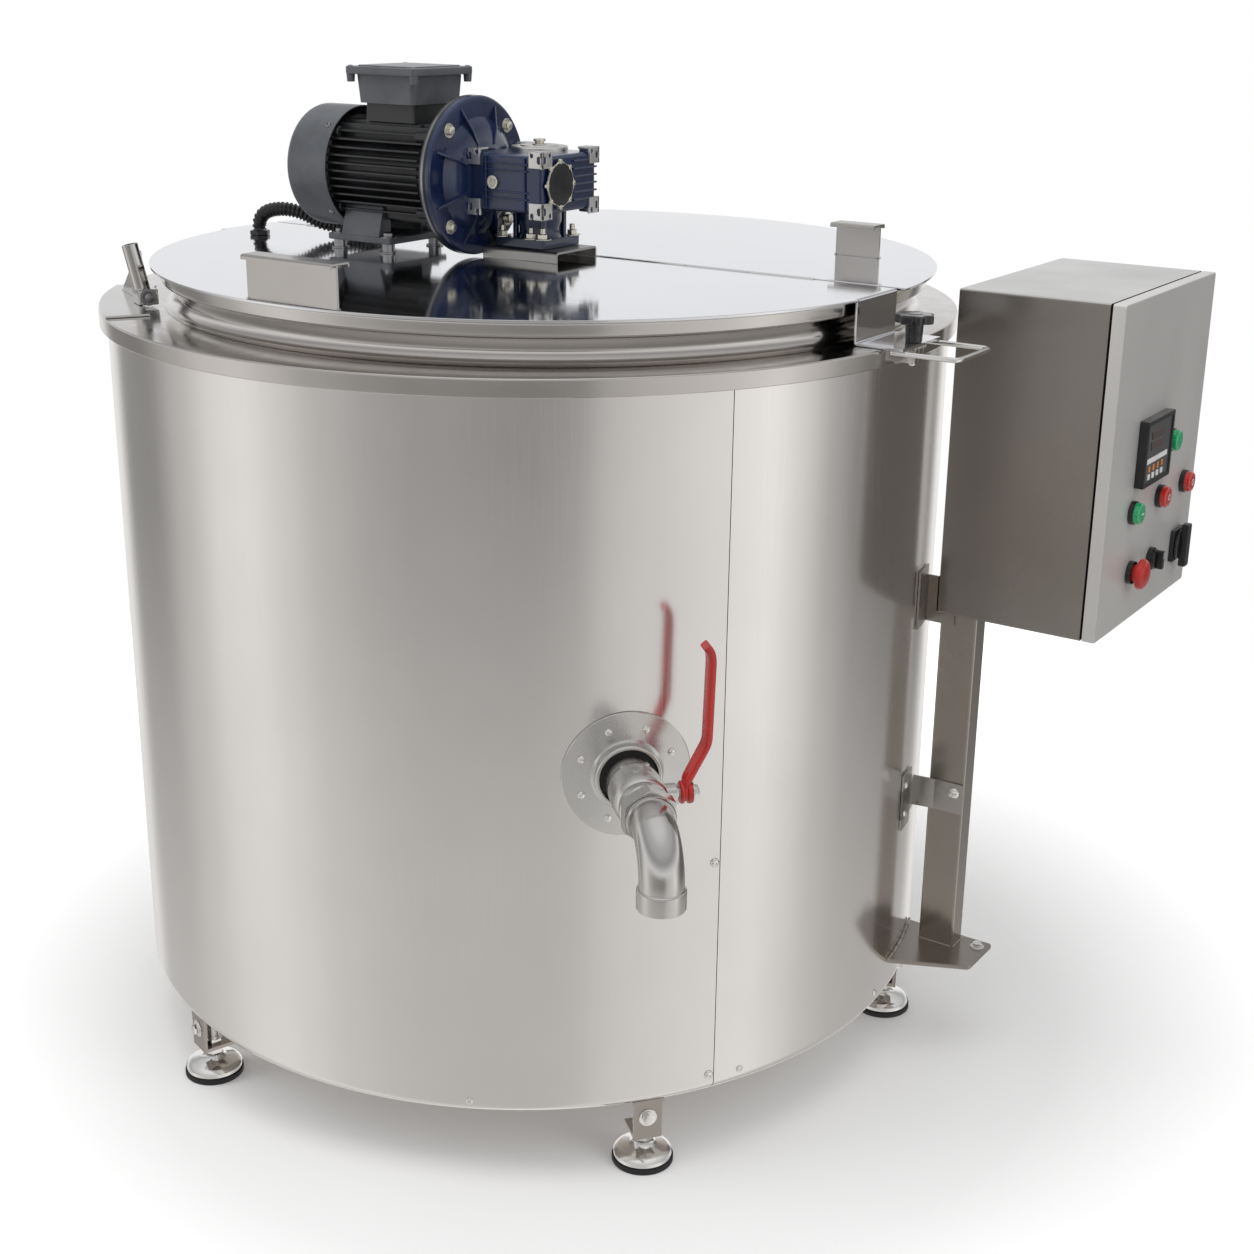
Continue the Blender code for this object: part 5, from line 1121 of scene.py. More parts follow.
def build_rosette():
    """A plate rolled to the shell, with a raised collar and a ring of screws."""
    plate = Shape()
    rows = []
    for radius, proud in ((ROSETTE_BORE, 0.0004), (0.0735, 0.0004), (ROSETTE_R, 0.0008),
                          (ROSETTE_R, 0.0018), (0.0742, 0.0024), (0.0400, 0.0024),
                          (ROSETTE_BORE, 0.0024)):
        rows.append(plate.row(on_shell(*point, proud) for point in circle(radius, 96)))
    plate.bridge(rows, True)
    plate.lathe([(ROSETTE_BORE, 0.0008), (ROSETTE_BORE, 0.0125)] + arc((0.0362, 0.0125), 0.0027, 180, 0, 8)
                + [(0.0392, 0.0040), (0.0425, 0.0016), (0.0425, 0.0008)], 72, along_outlet(SHELL_X))
    plate.piece("rosette_plate", "tank", "steel", CAST_STEEL, ["outlet_rosette"], 35)
    screws = Shape()
    for i in range(8):
        turn = radians(22.5 + 45 * i)
        point = on_shell(0.0565 * cos(turn), 0.0565 * sin(turn), 0.0024)
        out = Vector((point.x, point.y, 0)).normalized()
        pan_head(screws, aim(point, out), 0.0046, 0.0026)
    screws.piece("rosette_screws", "tank", "bright_steel", BRIGHT_STEEL)
    Shape().lathe([(0.0333, 0.0100), (0.0333, 0.0030), (0.0219, 0.0030), (0.0219, 0.0095),
                   (0.0300, 0.0112)], 56, along_outlet(SHELL_X)).piece(
        "rosette_seal", "tank", "rubber", RUBBER, ["outlet_seal"])


def build_valve():
    start = SHELL_X + 0.0098
    end = 0.632
    body = Shape()
    body.lathe([(0.0290, start + 0.0), (0.0185, start), (0.0185, end), (0.0270, end),
                (0.0288, end - 0.002), (0.0288, end - 0.008), (0.0268, end - 0.010),
                (0.0268, end - 0.016), (0.0300, end - 0.020), (0.0308, VALVE_X + 0.012),
                (0.0312, VALVE_X), (0.0308, VALVE_X - 0.012), (0.0300, VALVE_X - 0.022),
                (0.0285, VALVE_X - 0.026), (0.0285, start + 0.003)][::-1], 72,
               outlet_place() @ aim((0, 0, 0), (1, 0, 0)))
    side = outlet_place() @ aim((VALVE_X, 0.022, 0), (0, 1, 0))
    body.lathe([(0.0062, 0.0210), (0.0105, 0.0205), (0.0112, 0.0190), (0.0112, 0.0060),
                (0.0135, 0.0), (0.0062, 0.0)], 36, side)
    emboss(body)
    body.piece("valve_casting", "tank", "steel", CAST_STEEL, ["valve_body"], 38)

    nut = Shape()
    nut.prism(hexagon(0.0560), 0.0200, along_outlet(0.6430), 0.0012,
              [circle(0.0190, 40)[::-1]])
    nut.lathe([(0.0190, 0.6535), (0.0285, 0.6535), (0.0285, 0.6545), (0.0190, 0.6549)][::-1], 48,
              outlet_place() @ aim((0, 0, 0), (1, 0, 0)))
    nut.piece("valve_hexagon", "tank", "steel", CAST_STEEL, ["valve_nut"], 30)


def emboss(body):
    """Raised cast pads on top of the valve: plain shapes, no marks."""
    top = outlet_place()
    for x, y, long, wide in ((0.5720, 0.0, 0.0070, 0.0360), (0.5930, 0.0035, 0.0120, 0.0230)):
        rows = []
        for lift in (0.0280, 0.0322):
            shrink = 0.0008 if lift > 0.030 else 0.0
            corners = rounded((-long / 2 + shrink, -wide / 2 + shrink),
                              (long / 2 - shrink, wide / 2 - shrink), 0.0022, 3)
            turned = [(x + a, (b + y) / 0.031) for a, b in corners]
            rows.append(body.row(top @ Vector((a, lift * sin(turn), lift * cos(turn)))
                                 for a, turn in turned))
        body.bridge(rows)


def build_elbow():
    leg = ELBOW_X + ELBOW_R
    place = outlet_place()
    bend = [(ELBOW_X + ELBOW_R * sin(radians(a)), 0, -ELBOW_R + ELBOW_R * cos(radians(a)))
            for a in range(0, 91, 5)]
    path = [(0.6555, 0, 0)] + bend + [(leg, 0, -ELBOW_DROP + 0.002)]
    elbow = Shape()
    outer = [place @ Vector(p) for p in path]
    for radius in (ELBOW_PIPE_R, ELBOW_BORE):
        wall = Shape().tube(outer, radius, 48).mesh
        caps = [f for f in wall.faces if len(f.verts) > 4]
        bmesh.ops.delete(wall, geom=caps, context="FACES_ONLY")
        elbow.add(wall)
    open_edges = [e for e in elbow.mesh.edges if e.is_boundary]
    bmesh.ops.bridge_loops(elbow.mesh, edges=[e for e in open_edges if end_of(e, outer[0])])
    open_edges = [e for e in elbow.mesh.edges if e.is_boundary]
    bmesh.ops.bridge_loops(elbow.mesh, edges=open_edges)
    elbow.lathe([(ELBOW_BORE, 0.6555), (0.0272, 0.6555), (0.0278, 0.6565), (0.0278, 0.6600),
                 (0.0265, 0.6625), (0.0235, 0.6625), (ELBOW_BORE, 0.6610)][::-1], 48,
                place @ aim((0, 0, 0), (1, 0, 0)))
    down = place @ Matrix.Translation((leg, 0, -ELBOW_DROP))
    elbow.lathe([(0.0235, 0.0235), (0.0252, 0.0230), (0.0266, 0.0218), (0.0270, 0.0200),
                 (0.0270, 0.0012), (0.0263, 0.0), (0.0228, 0.0), (ELBOW_BORE, 0.0010),
                 (ELBOW_BORE, 0.0235)], 56, down)
    elbow.piece("elbow_pipe", "tank", "steel", PIPE_STEEL, ["outlet_elbow"], 40)


def end_of(edge, point):
    middle = (edge.verts[0].co + edge.verts[1].co) / 2
    return (middle - point).length < 0.030


def build_lever():
    place = outlet_place() @ Matrix.Translation((VALVE_X, 0, 0))
    line = [(0, 0.0530, 0.006), (0, 0.0536, 0.014), (0, 0.0762, 0.058), (0, 0.0785, 0.154),
            (0, 0.0765, 0.1640), (0, 0.0712, 0.1705)]
    path = [place @ Vector(p) for p in round_bends(line, 0.0075, 6)]
    widths = [0.80 + 0.20 * min(1.0, i / 8) for i in range(len(path))]
    across = place.to_3x3() @ Vector((1, 0, 0))
    section = rounded((-0.0046, -0.0098), (0.0046, 0.0098), 0.0036, 4)
    lever = Shape().sweep(path, section, widths, across)
    hub = place @ aim((0, 0.0462, 0), (0, 1, 0))
    lever.lathe([(0, 0.0040), (0.0058, 0.0040), (0.0058, 0.0), (0.0118, 0.0), (0.0130, 0.0012),
                 (0.0130, 0.0034), (0.0118, 0.0046), (0.0105, 0.0050), (0.0105, 0.0078),
                 (0.0124, 0.0084), (0.0132, 0.0096), (0.0132, 0.0128), (0.0120, 0.0138),
                 (0, 0.0138)][::-1], 40, hub)
    lever.piece("lever_sleeve", "valve", "red_sleeve", RED_SLEEVE, ["valve_lever"], 50)
    stem = Shape().lathe([(0, 0.0685), (0.0040, 0.0685), (0.0046, 0.0678), (0.0046, 0.0660),
                          (0.0055, 0.0450), (0.0055, 0.0252), (0, 0.0252)], 28,
                         place @ aim((0, 0, 0), (0, 1, 0)))
    hex_head(stem, place @ aim((0, 0.0601, 0), (0, 1, 0)), 0.0130, 0.0058)
    stem.box((-0.003, 0.0210, -0.005), (0.003, 0.0258, 0.005), 0.0, place)
    stem.piece("lever_nut", "valve", "bright_steel", BRIGHT_STEEL, ["valve_stem"])


# ---------------------------------------------------------------- feet, column, post

def build_feet():
    for number, angle in enumerate(FOOT_ANGLES, 1):
        place = Matrix.Rotation(angle, 4, "Z") @ Matrix.Translation((FOOT_CIRCLE, 0, 0))
        foot = Shape()
        foot.lathe([(0, 0.0300), (0.0100, 0.0300), (0.0125, 0.0285), (0.0140, 0.0255),
                    (0.0180, 0.0225), (0.0290, 0.0190), (0.0340, 0.0165), (0.0362, 0.0135),
                    (0.0362, 0.0090), (0.0352, 0.0080), (0, 0.0080)], 56, place)
        thread(foot, place, 0.0076, 0.0300, 0.0790, 0.0020, 0.0005)
        for z in (0.0312, 0.0454):
            hex_head(foot, place @ plane_z(z), 0.0230, 0.0078, False)
        foot.piece(f"foot_pad_{number}", "tank", "bright_steel", BRIGHT_STEEL,
                   [f"levelling_foot_{number}"])
        Shape().lathe([(0, 0.0077), (0.0372, 0.0077), (0.0380, 0.0068), (0.0380, 0.0012),
                       (0.0370, 0), (0, 0)], 56, place).piece(
            f"foot_sole_{number}", "tank", "rubber", RUBBER, [f"foot_rubber_{number}"])
        bolt = Shape()
        hex_head(bolt, Matrix.Rotation(angle, 4, "Z") @ aim((0.5292, 0.0, 0.0700), (1, 0, 0)),
                 0.0120, 0.0060)
        bolt.piece(f"foot_bolt_{number}", "tank", "bright_steel", BRIGHT_STEEL)


def weld(shape, start, end, size=0.0022):
    """A row of overlapping weld beads along a joint."""
    start, end = Vector(start), Vector(end)
    count = max(2, round((end - start).length / (size * 1.5)))
    for i in range(count + 1):
        spot = start.lerp(end, i / count)
        shape.lathe([(0, size * 0.8), (size * 0.7, size * 0.55), (size, 0), (size * 0.7, -size * 0.5),
                     (0, -size * 0.7)], 8, Matrix.Translation(spot))


def build_column():
    x0, y0 = COLUMN_LOW
    x1, y1 = COLUMN_HIGH
    post = Shape()
    outline = rounded((x0, y0), (x1, y1), 0.003, 4)
    inner = rounded((x0 + 0.0025, y0 + 0.0025), (x1 - 0.0025, y1 - 0.0025), 0.0015, 3)[::-1]
    height = CABINET_LOW[2] - GAP - COLUMN_BASE_TOP
    post.prism(outline, height, plane_z(COLUMN_BASE_TOP + height / 2), 0.0, [inner])
    start = math.degrees(math.asin(0.056 / SHELL_R)) + 0.1
    end = math.degrees(math.asin(0.176 / SHELL_R))
    foot = arc((0, 0), SHELL_R + 0.0006, end, start, 10) + [(0.633, 0.1005), (0.636, 0.1045),
                                                           (0.636, 0.173), (0.633, 0.176)]
    post.prism(foot, 0.006, plane_z(COLUMN_BASE_TOP - 0.003), 0.0008)
    build_stay(post, x0, y0)
    for a, b in (((x0, y0), (x1, y0)), ((x1, y0), (x1, y1))):
        weld(post, (*a, COLUMN_BASE_TOP + 0.0005), (*b, COLUMN_BASE_TOP + 0.0005), 0.0016)
    seat = arc((0, 0), SHELL_R + 0.0022, start, end, 6)
    for a, b in zip(seat, seat[1:]):
        weld(post, (*a, COLUMN_BASE_TOP + 0.0006), (*b, COLUMN_BASE_TOP + 0.0006), 0.0022)
    post.piece("column_tube", "tank", "steel", COLUMN_STEEL, ["column"])

    strap = Shape()
    strap.prism(rounded((0.549, 0.3452), (x1, 0.387), 0.0030), 0.0030, plane_y(y0 - 0.0018), 0.0004)
    flange = arc((0, 0), SHELL_R + 0.0018, 14.0, 7.8, 8)
    folded = ribbon([(0.5560, y0 - 0.0018)] + flange, 0.0026)
    strap.prism(folded, 0.042, plane_z(0.366), 0.0003)
    strap.prism(ribbon(flange[3:], 0.0026), 0.078, plane_z(0.369), 0.0003)
    strap.piece("strap_plate", "tank", "steel", PLATE_STEEL, ["column_bracket"])

    bolts = Shape()
    pan_head(bolts, aim((0.582, y0 - 0.0034, 0.374), (0, -1, 0)), 0.0085, 0.0055)
    hex_head(bolts, Matrix.Translation((0.622, 0.158, COLUMN_BASE_TOP)), 0.0100, 0.0050)
    for z in (0.352, 0.392):
        spot = Vector((cos(radians(8.8)), sin(radians(8.8)), 0))
        pan_head(bolts, aim(spot * (SHELL_R + 0.0032) + Vector((0, 0, z)), spot), 0.0045, 0.0026)
    bolts.piece("column_bolts", "tank", "bright_steel", BRIGHT_STEEL)


def build_stay(post, x0, y0):
    """The folded bracket that ties the cabinet's foot to the shell."""
    end_x = CABINET_LOW[0] - GAP
    flange = arc((0, 0), SHELL_R + 0.0018, 14.2, 9.6, 6)
    post.prism(ribbon(flange, 0.0026), 0.076, plane_z(0.641), 0.0003)
    post.box((0.5260, y0 - 0.0030, 0.6025), (end_x, y0 - 0.0002, 0.6640), 0.0004)
    post.box((end_x - 0.001, y0 - 0.0030, 0.6025), (x0 + 0.020, y0 + 0.0002, 0.6164), 0.0004)
    post.box((end_x - 0.003, y0 - 0.0030, 0.6175), (end_x, 0.165, 0.6640), 0.0004)


def build_post():
    """Tube post on the rim, with its gusset, foot plate and clamp block."""
    low = RIM_TOP + GAP
    foot = Vector((-0.323, -0.371, low + 0.003))
    head = Vector((-0.335, -0.380, 1.062))
    post = Shape()
    outline = arc((0, 0), 0.5485, -148, -122, 16) + arc((0, 0), 0.496, -122, -148, 16)
    post.prism(outline, 0.003, plane_z(low + 0.0015), 0.0006)
    post.lathe([(0.0100, (head - foot).length), (0.0100, -0.0005), (0.0078, 0.0),
                (0.0078, (head - foot).length)], 36, aim(foot, head - foot))
    post.lathe([(0, 0.060), (0.0079, 0.060), (0.0079, 0.050), (0, 0.050)], 24,
               aim(foot, head - foot))
    along = Vector((-0.430 - foot.x, -0.313 - foot.y, 0.0)).normalized()
    side = along.cross(Vector((0, 0, 1)))
    upright = Matrix(((along.x, 0, side.x, foot.x), (along.y, 0, side.y, foot.y),
                      (0, 1, 0, foot.z), (0, 0, 0, 1)))
    post.prism([(0.004, 0.0), (0.113, 0.0), (0.104, 0.009), (0.020, 0.064), (0.010, 0.062)], 0.003,
               upright, 0.0005)
    weld(post, upright @ Vector((0.104, 0, 0)), upright @ Vector((0.116, 0, 0)), 0.0022)
    turn = Matrix.Translation(foot) @ Matrix.Rotation(atan2(along.y, along.x), 4, "Z")
    post.box((-0.0155, -0.0125, 0), (0.0155, 0.0125, 0.0190), 0.0015, turn)
    post.piece("rim_post", "tank", "steel", PIPE_STEEL, ["lid_post"], 35)
    nuts = Shape()
    hex_head(nuts, turn @ aim((0.0155, 0, 0.0100), (1, 0, 0)), 0.0110, 0.0055)
    hex_head(nuts, turn @ aim((-0.0155, 0, 0.0100), (-1, 0, 0)), 0.0110, 0.0055)
    nuts.piece("post_nuts", "tank", "dark_steel", DARK_STEEL)


# ---------------------------------------------------------------- cabinet

def tray(shape, low, high, sheet, open_side, radius):
    """A folded box with one open side along X."""
    outline = rounded((low[1], low[2]), (high[1], high[2]), radius, 4)
    inner = rounded((low[1] + sheet, low[2] + sheet), (high[1] - sheet, high[2] - sheet),
                    max(radius - sheet, 0.0005), 4)
    soft = 0.0016
    back, front = (low[0], high[0]) if open_side > 0 else (high[0], low[0])
    stations = [(back, outline, soft), (back + open_side * soft * 0.3, outline, soft * 0.3),
                (back + open_side * soft, outline, 0.0), (front, outline, 0.0), (front, inner, 0.0),
                (back + open_side * sheet, inner, 0.0)]
    middle = Vector(((low[1] + high[1]) / 2, (low[2] + high[2]) / 2))
    size = Vector((high[1] - low[1], high[2] - low[2]))
    rows = []
    for x, points, inset in stations:
        ky, kz = 1 - 2 * inset / size.x, 1 - 2 * inset / size.y
        rows.append(shape.row((x, middle.x + (y - middle.x) * ky, middle.y + (z - middle.y) * kz)
                              for y, z in points))
    shape.bridge(rows)


def build_cabinet():
    body = Shape()
    tray(body, CABINET_LOW, CABINET_HIGH, 0.0015, 1, 0.0030)
    body.piece("cabinet_case", "tank", "steel", CABINET_STEEL, ["cabinet_body"], 30)
    lip = Shape()
    y0, z0, y1, z1 = CABINET_LOW[1] + 0.012, CABINET_LOW[2] + 0.012, 0.450, 1.018
    lip.prism(rounded((y0 - 0.0095, z0 - 0.0095), (y1 + 0.0095, z1 + 0.0095), 0.003), 0.0050,
              plane_x(CABINET_HIGH[0] - 0.0020), 0.0, [rounded((y0, z0), (y1, z1), 0.003)[::-1]])
    lip.piece("cabinet_gasket", "tank", "rubber", RUBBER)

    low = (DOOR_BACK, CABINET_LOW[1], CABINET_LOW[2])
    high = (DOOR_FRONT, CABINET_HIGH[1], CABINET_HIGH[2])
    door = Shape()
    tray(door, low, high, 0.0015, -1, 0.0030)
    door.piece("door_tray", "door", "steel", DOOR_STEEL, ["cabinet_door"], 30)


def door_place(across, up):
    return CABINET_LOW[1] + across, CABINET_LOW[2] + up


def build_lamp_head(name, body, at, glow, node, deep):
    """A round lens standing out from the door."""
    y, z = at
    base = CONTROL_SEAT
    out = aim((0, y, z), (1, 0, 0))
    head = Shape()
    front = base + deep
    head.lathe([(0, front - 0.0004), (0.0085, front), (0.0115, front - 0.0004),
                (0.0132, front - 0.0018), (0.0135, front - 0.0040), (0.0135, base + 0.0045),
                (0, base + 0.0045)], 40, out)
    head.piece(name + "_lens", body, "green_plastic" if glow is GREEN_LENS else "red_plastic", glow,
               [node])
    return out, front


def build_controls():
    for name, body, at, glow in (
            ("start_button", "start", door_place(0.091, 0.1465), GREEN_LENS),
            ("stop_button", "stop", door_place(0.190, 0.1465), RED_LENS),
            ("reset_button", "reset", door_place(0.284, 0.1465), RED_LENS)):
        out, front = build_lamp_head(name, body, at, glow, name, 0.0141)
        bezel(name + "_bezel", at, BEZEL_R, BEZEL_DEEP)
        mark = Shape()
        if name == "start_button":
            mark.prism(rounded((-0.0007, -0.0040), (0.0007, 0.0040), 0.0004),
                       0.0003, out @ plane_z(front + 0.0001))
        else:
            mark.prism(circle(0.0040, 32), 0.0003, out @ plane_z(front + 0.0001), 0.0,
                       [circle(0.0029, 32)[::-1]])
        mark.piece(name + "_sign", body, "black_plastic", PRINT_WHITE)
    lamp = door_place(0.211, 0.216)
    build_lamp_head("ready_lamp", "door", lamp, GREEN_LENS, "indicator_lamp", 0.0143)
    bezel("lamp_bezel", lamp, BEZEL_R, BEZEL_DEEP)
    build_emergency()
    build_selector()
    build_main_switch()
    build_controller()


def bezel(name, at, radius, deep):
    y, z = at
    base = CONTROL_SEAT
    ring = Shape().lathe([(radius - 0.0010, base + deep), (radius - 0.0004, base + deep - 0.0002),
                          (radius, base + deep - 0.0010), (radius, base), (radius - 0.0011, base),
                          (radius - 0.0011, base + deep - 0.0001)], 48,
                         aim((0, y, z), (1, 0, 0)))
    ring.piece(name, "door", "black_plastic", BLACK_PLASTIC)


def build_emergency():
    y, z = door_place(0.105, 0.066)
    base = CONTROL_SEAT
    out = aim((0, y, z), (1, 0, 0))
    bezel("emergency_collar", (y, z), BEZEL_R, BEZEL_DEEP)
    head = Shape().lathe([(0, base + 0.0243), (0.0080, base + 0.0240), (0.0140, base + 0.0228),
                          (0.0178, base + 0.0205), (0.0194, base + 0.0178), (0.0195, base + 0.0142),
                          (0.0186, base + 0.0128), (0.0150, base + 0.0122), (0.0120, base + 0.0110),
                          (0.0110, base + 0.0060), (0, base + 0.0060)], 64, out)
    head.piece("emergency_head", "emergency", "red_plastic", E_STOP_RED, ["emergency_stop"])


def build_selector():
    y, z = door_place(0.180, 0.066)
    base = BEZEL_FRONT
    out = aim((0, y, z), (1, 0, 0))
    bezel("selector_collar", (y, z), BEZEL_R, 0.0058)
    knob = Shape().lathe([(0, base + 0.0044), (0.0110, base + 0.0042), (0.0126, base + 0.0032),
                          (0.0130, base + 0.0004), (0, base + 0.0004)], 48, out)
    knob.prism(pad(y, z, 0.0043, 0.0122, 0.0028), 0.0084,
               plane_x(base + 0.0082), 0.0012)
    knob.piece("selector_knob", "selector", "black_plastic", BLACK_PLASTIC, ["selector_switch"])
    mark = Shape().prism(rounded((y - 0.0006, z + 0.0020), (y + 0.0006, z + 0.0105), 0.0004), 0.0003,
                         plane_x(base + 0.0125))
    mark.piece("selector_mark", "selector", "black_plastic", PRINT_WHITE)


def build_main_switch():
    y, z = door_place(0.280, 0.062)
    base = BEZEL_FRONT
    out = aim((0, y, z), (1, 0, 0))
    plate = Shape().prism(pad(y, z, 0.0215, 0.0215, 0.004), 0.0056,
                          plane_x(DOOR_FRONT + 0.0030), 0.0010)
    plate.piece("isolator_plate", "door", "black_plastic", BLACK_PLASTIC)
    handle = Shape().lathe([(0, base + 0.0040), (0.0180, base + 0.0038), (0.0195, base + 0.0028),
                            (0.0198, base + 0.0004), (0, base + 0.0004)], 56, out)
    handle.prism(pad(y, z, 0.0084, 0.0288, 0.0030), 0.0092,
                 plane_x(base + 0.0078), 0.0015)
    handle.piece("isolator_grip", "isolator", "black_plastic", BLACK_PLASTIC, ["main_switch"])


def build_controller():
    """Black housing with a grey face, two display windows and a row of keys."""
    cy, cz = door_place(0.138, 0.219)
    front = DOOR_FRONT + 0.0120
    case = Shape()
    outline = pad(cy, cz, 0.0490, 0.0420, 0.0025)
    hole = pad(cy, cz, 0.0430, 0.0360, 0.0015)[::-1]
    case.prism(outline, 0.0117, plane_x(DOOR_FRONT + 0.00605), 0.0008, [hole])
    case.box((0.704, cy - 0.0428, cz - 0.0358), (DOOR_FRONT - 0.0018, cy + 0.0428, cz + 0.0358), 0.001)
    case.piece("controller_case", "door", "black_plastic", BLACK_PLASTIC, ["controller"])
    face = Shape().prism(pad(cy, cz, 0.0429, 0.0359, 0.0014),
                         0.0012, plane_x(front - 0.0022))
    face.piece("controller_face", "door", "black_plastic", PANEL_GREY)
    windows = Shape()
    for up in (0.0215, 0.0085):
        windows.prism(rounded((cy - 0.0290, cz + up - 0.0050), (cy + 0.0150, cz + up + 0.0050),
                              0.0008), 0.0006, plane_x(front - 0.0013))
    windows.piece("display_windows", "door", "black_plastic", DISPLAY)
    label = Shape().prism(rounded((cy - 0.0385, cz - 0.0130), (cy + 0.0340, cz - 0.0065), 0.0004),
                          0.0004, plane_x(front - 0.0014))
    for i in range(4):
        y = cy - 0.0290 + i * KEY_PITCH
        label.prism(rounded((y - 0.0040, cz - 0.0335), (y + 0.0040, cz - 0.0265), 0.0012), 0.0008,
                    plane_x(front - 0.0013))
    label.piece("controller_keys", "door", "black_plastic", PRINT_WHITE)
    lights = Shape()
    for i in range(4):
        y = cy - 0.0290 + i * KEY_PITCH
        lights.prism(rounded((y - 0.0030, cz - 0.0240), (y + 0.0030, cz - 0.0165), 0.0006), 0.0006,
                     plane_x(front - 0.0013))
    lights.piece("controller_lights", "door", "black_plastic", PRINT_ORANGE)


# ---------------------------------------------------------------- carried-over CAD pieces

def finish_cad_nodes():
    looks = {"base_frame": COLUMN_STEEL, "insulation": FOAM, "jacket_vessel": SHELL_STEEL,
             "evaporator_coil": COPPER, "outlet_pipe": PIPE_STEEL, "mounting_plate": PLATE_STEEL,
             "valve_ball": BRIGHT_STEEL, "agitator_shaft": BRIGHT_STEEL,
             "agitator_paddle": PLATE_STEEL, "worm": DARK_STEEL, "worm_wheel": BRONZE,
             "motor_rotor": DARK_STEEL, "motor_fan": BLACK_PLASTIC}
    for name, look in looks.items():
        slots = nodes[name].data.materials
        slots.clear()
        slots.append(look)


# ---------------------------------------------------------------- stage, light and camera

AMBIENT = 0.42                    # light that reaches matt surfaces from all around
FLOOR_SIZE = 1.9
FLOOR_LIFT = 0.12                 # light added to the floor near the tank, for the camera only
FAR_LIFT = 0.60                   # and far from it
GROUND_TONE = (0.78, 0.765, 0.75)  # what low reflections see, and how strongly
GROUND_SHARE = 0.55
# brightness of the studio around the horizon, by bearing from the camera side, in degrees
STUDIO_LEVELS = ((-180, 1.0), (-152, 0.90), (-140, 0.31), (-122, 0.29), (-106, 0.56), (-91, 0.86),
                 (-80, 0.92), (-69, 0.75), (-57, 0.54), (-41, 0.41), (-30, 0.36), (0, 0.31),
                 (11, 0.36), (20, 0.60), (29, 0.70), (46, 0.82), (66, 1.04), (76, 0.78),
                 (87, 0.43), (100, 0.22), (116, 0.15), (142, 0.18), (154, 1.0), (180, 1.0))
# and by height, from straight down to straight up
SKY_LEVELS = ((0.50, 0.95), (0.58, 0.90), (0.64, 0.62), (0.70, 0.42), (0.85, 0.60), (1.0, 0.85))


def build_camera():
    data = bpy.data.cameras.new("camera")
    data.lens = CAMERA_LENS
    data.sensor_width = 36.0
    camera = bpy.data.objects.new("camera", data)
    bpy.context.scene.collection.objects.link(camera)
    ahead = Vector((sin(-CAMERA_HEADING) * cos(CAMERA_PITCH), cos(CAMERA_HEADING) * cos(CAMERA_PITCH),
                    sin(CAMERA_PITCH)))
    level = Vector((cos(CAMERA_HEADING), sin(CAMERA_HEADING), 0.0))
    above = level.cross(ahead)
    right = level * cos(CAMERA_ROLL) + above * sin(CAMERA_ROLL)
    up = above * cos(CAMERA_ROLL) - level * sin(CAMERA_ROLL)
    facing = Matrix((right, up, -ahead)).transposed().to_4x4()
    camera.matrix_world = Matrix.Translation(Vector(CAMERA_AT) + Vector((TANK_X, 0, 0))) @ facing
    bpy.context.scene.camera = camera


def build_floor():
    disc = Shape().lathe([(0, 0.0), (FLOOR_SIZE, 0.0), (FLOOR_SIZE, -0.01), (0, -0.01)], 96)
    data = bpy.data.meshes.new("studio_floor")
    disc.mesh.to_mesh(data)
    disc.mesh.free()
    floor = bpy.data.objects.new("studio_floor", data)
    bpy.context.scene.collection.objects.link(floor)
    made, tree, shader = shader_nodes("studio_floor")
    shader.inputs["Base Color"].default_value = (0.86, 0.86, 0.86, 1.0)
    shader.inputs["Roughness"].default_value = 0.65
    shader.inputs["Specular IOR Level"].default_value = 0.1
    shader.inputs["Emission Color"].default_value = (1, 1, 1, 1)
    path = tree.nodes.new("ShaderNodeLightPath")
    seen = tree.nodes.new("ShaderNodeMath")
    seen.operation = "MULTIPLY"
    place = tree.nodes.new("ShaderNodeTexCoord")
    reach = tree.nodes.new("ShaderNodeVectorMath")
    reach.operation = "LENGTH"
    tree.links.new(place.outputs["Object"], reach.inputs[0])
    tree.links.new(spread(tree, reach.outputs["Value"], FLOOR_LIFT, FAR_LIFT, 0.65, 1.3),
                   seen.inputs[1])
    tree.links.new(path.outputs["Is Camera Ray"], seen.inputs[0])
    tree.links.new(seen.outputs[0], shader.inputs["Emission Strength"])
    clear = tree.nodes.new("ShaderNodeBsdfTransparent")
    mixed = tree.nodes.new("ShaderNodeMixShader")
    tree.links.new(path.outputs["Is Glossy Ray"], mixed.inputs["Fac"])
    tree.links.new(shader.outputs["BSDF"], mixed.inputs[1])
    tree.links.new(clear.outputs["BSDF"], mixed.inputs[2])
    tree.links.new(mixed.outputs["Shader"], tree.nodes["Material Output"].inputs["Surface"])
    data.materials.append(made)


def levels_ramp(tree, value, levels, tint):
    """A smooth ramp through (position, brightness) stops, in one tint."""
    ramp = tree.nodes.new("ShaderNodeValToRGB")
    ramp.color_ramp.interpolation = "EASE"
    stops = ramp.color_ramp.elements
    while len(stops) < len(levels):
        stops.new(0.5)
    for stop, (position, level) in zip(stops, levels):
        stop.position = position
        stop.color = (*[level * part for part in tint], 1.0)
    tree.links.new(value, ramp.inputs["Fac"])
    return ramp.outputs["Color"]


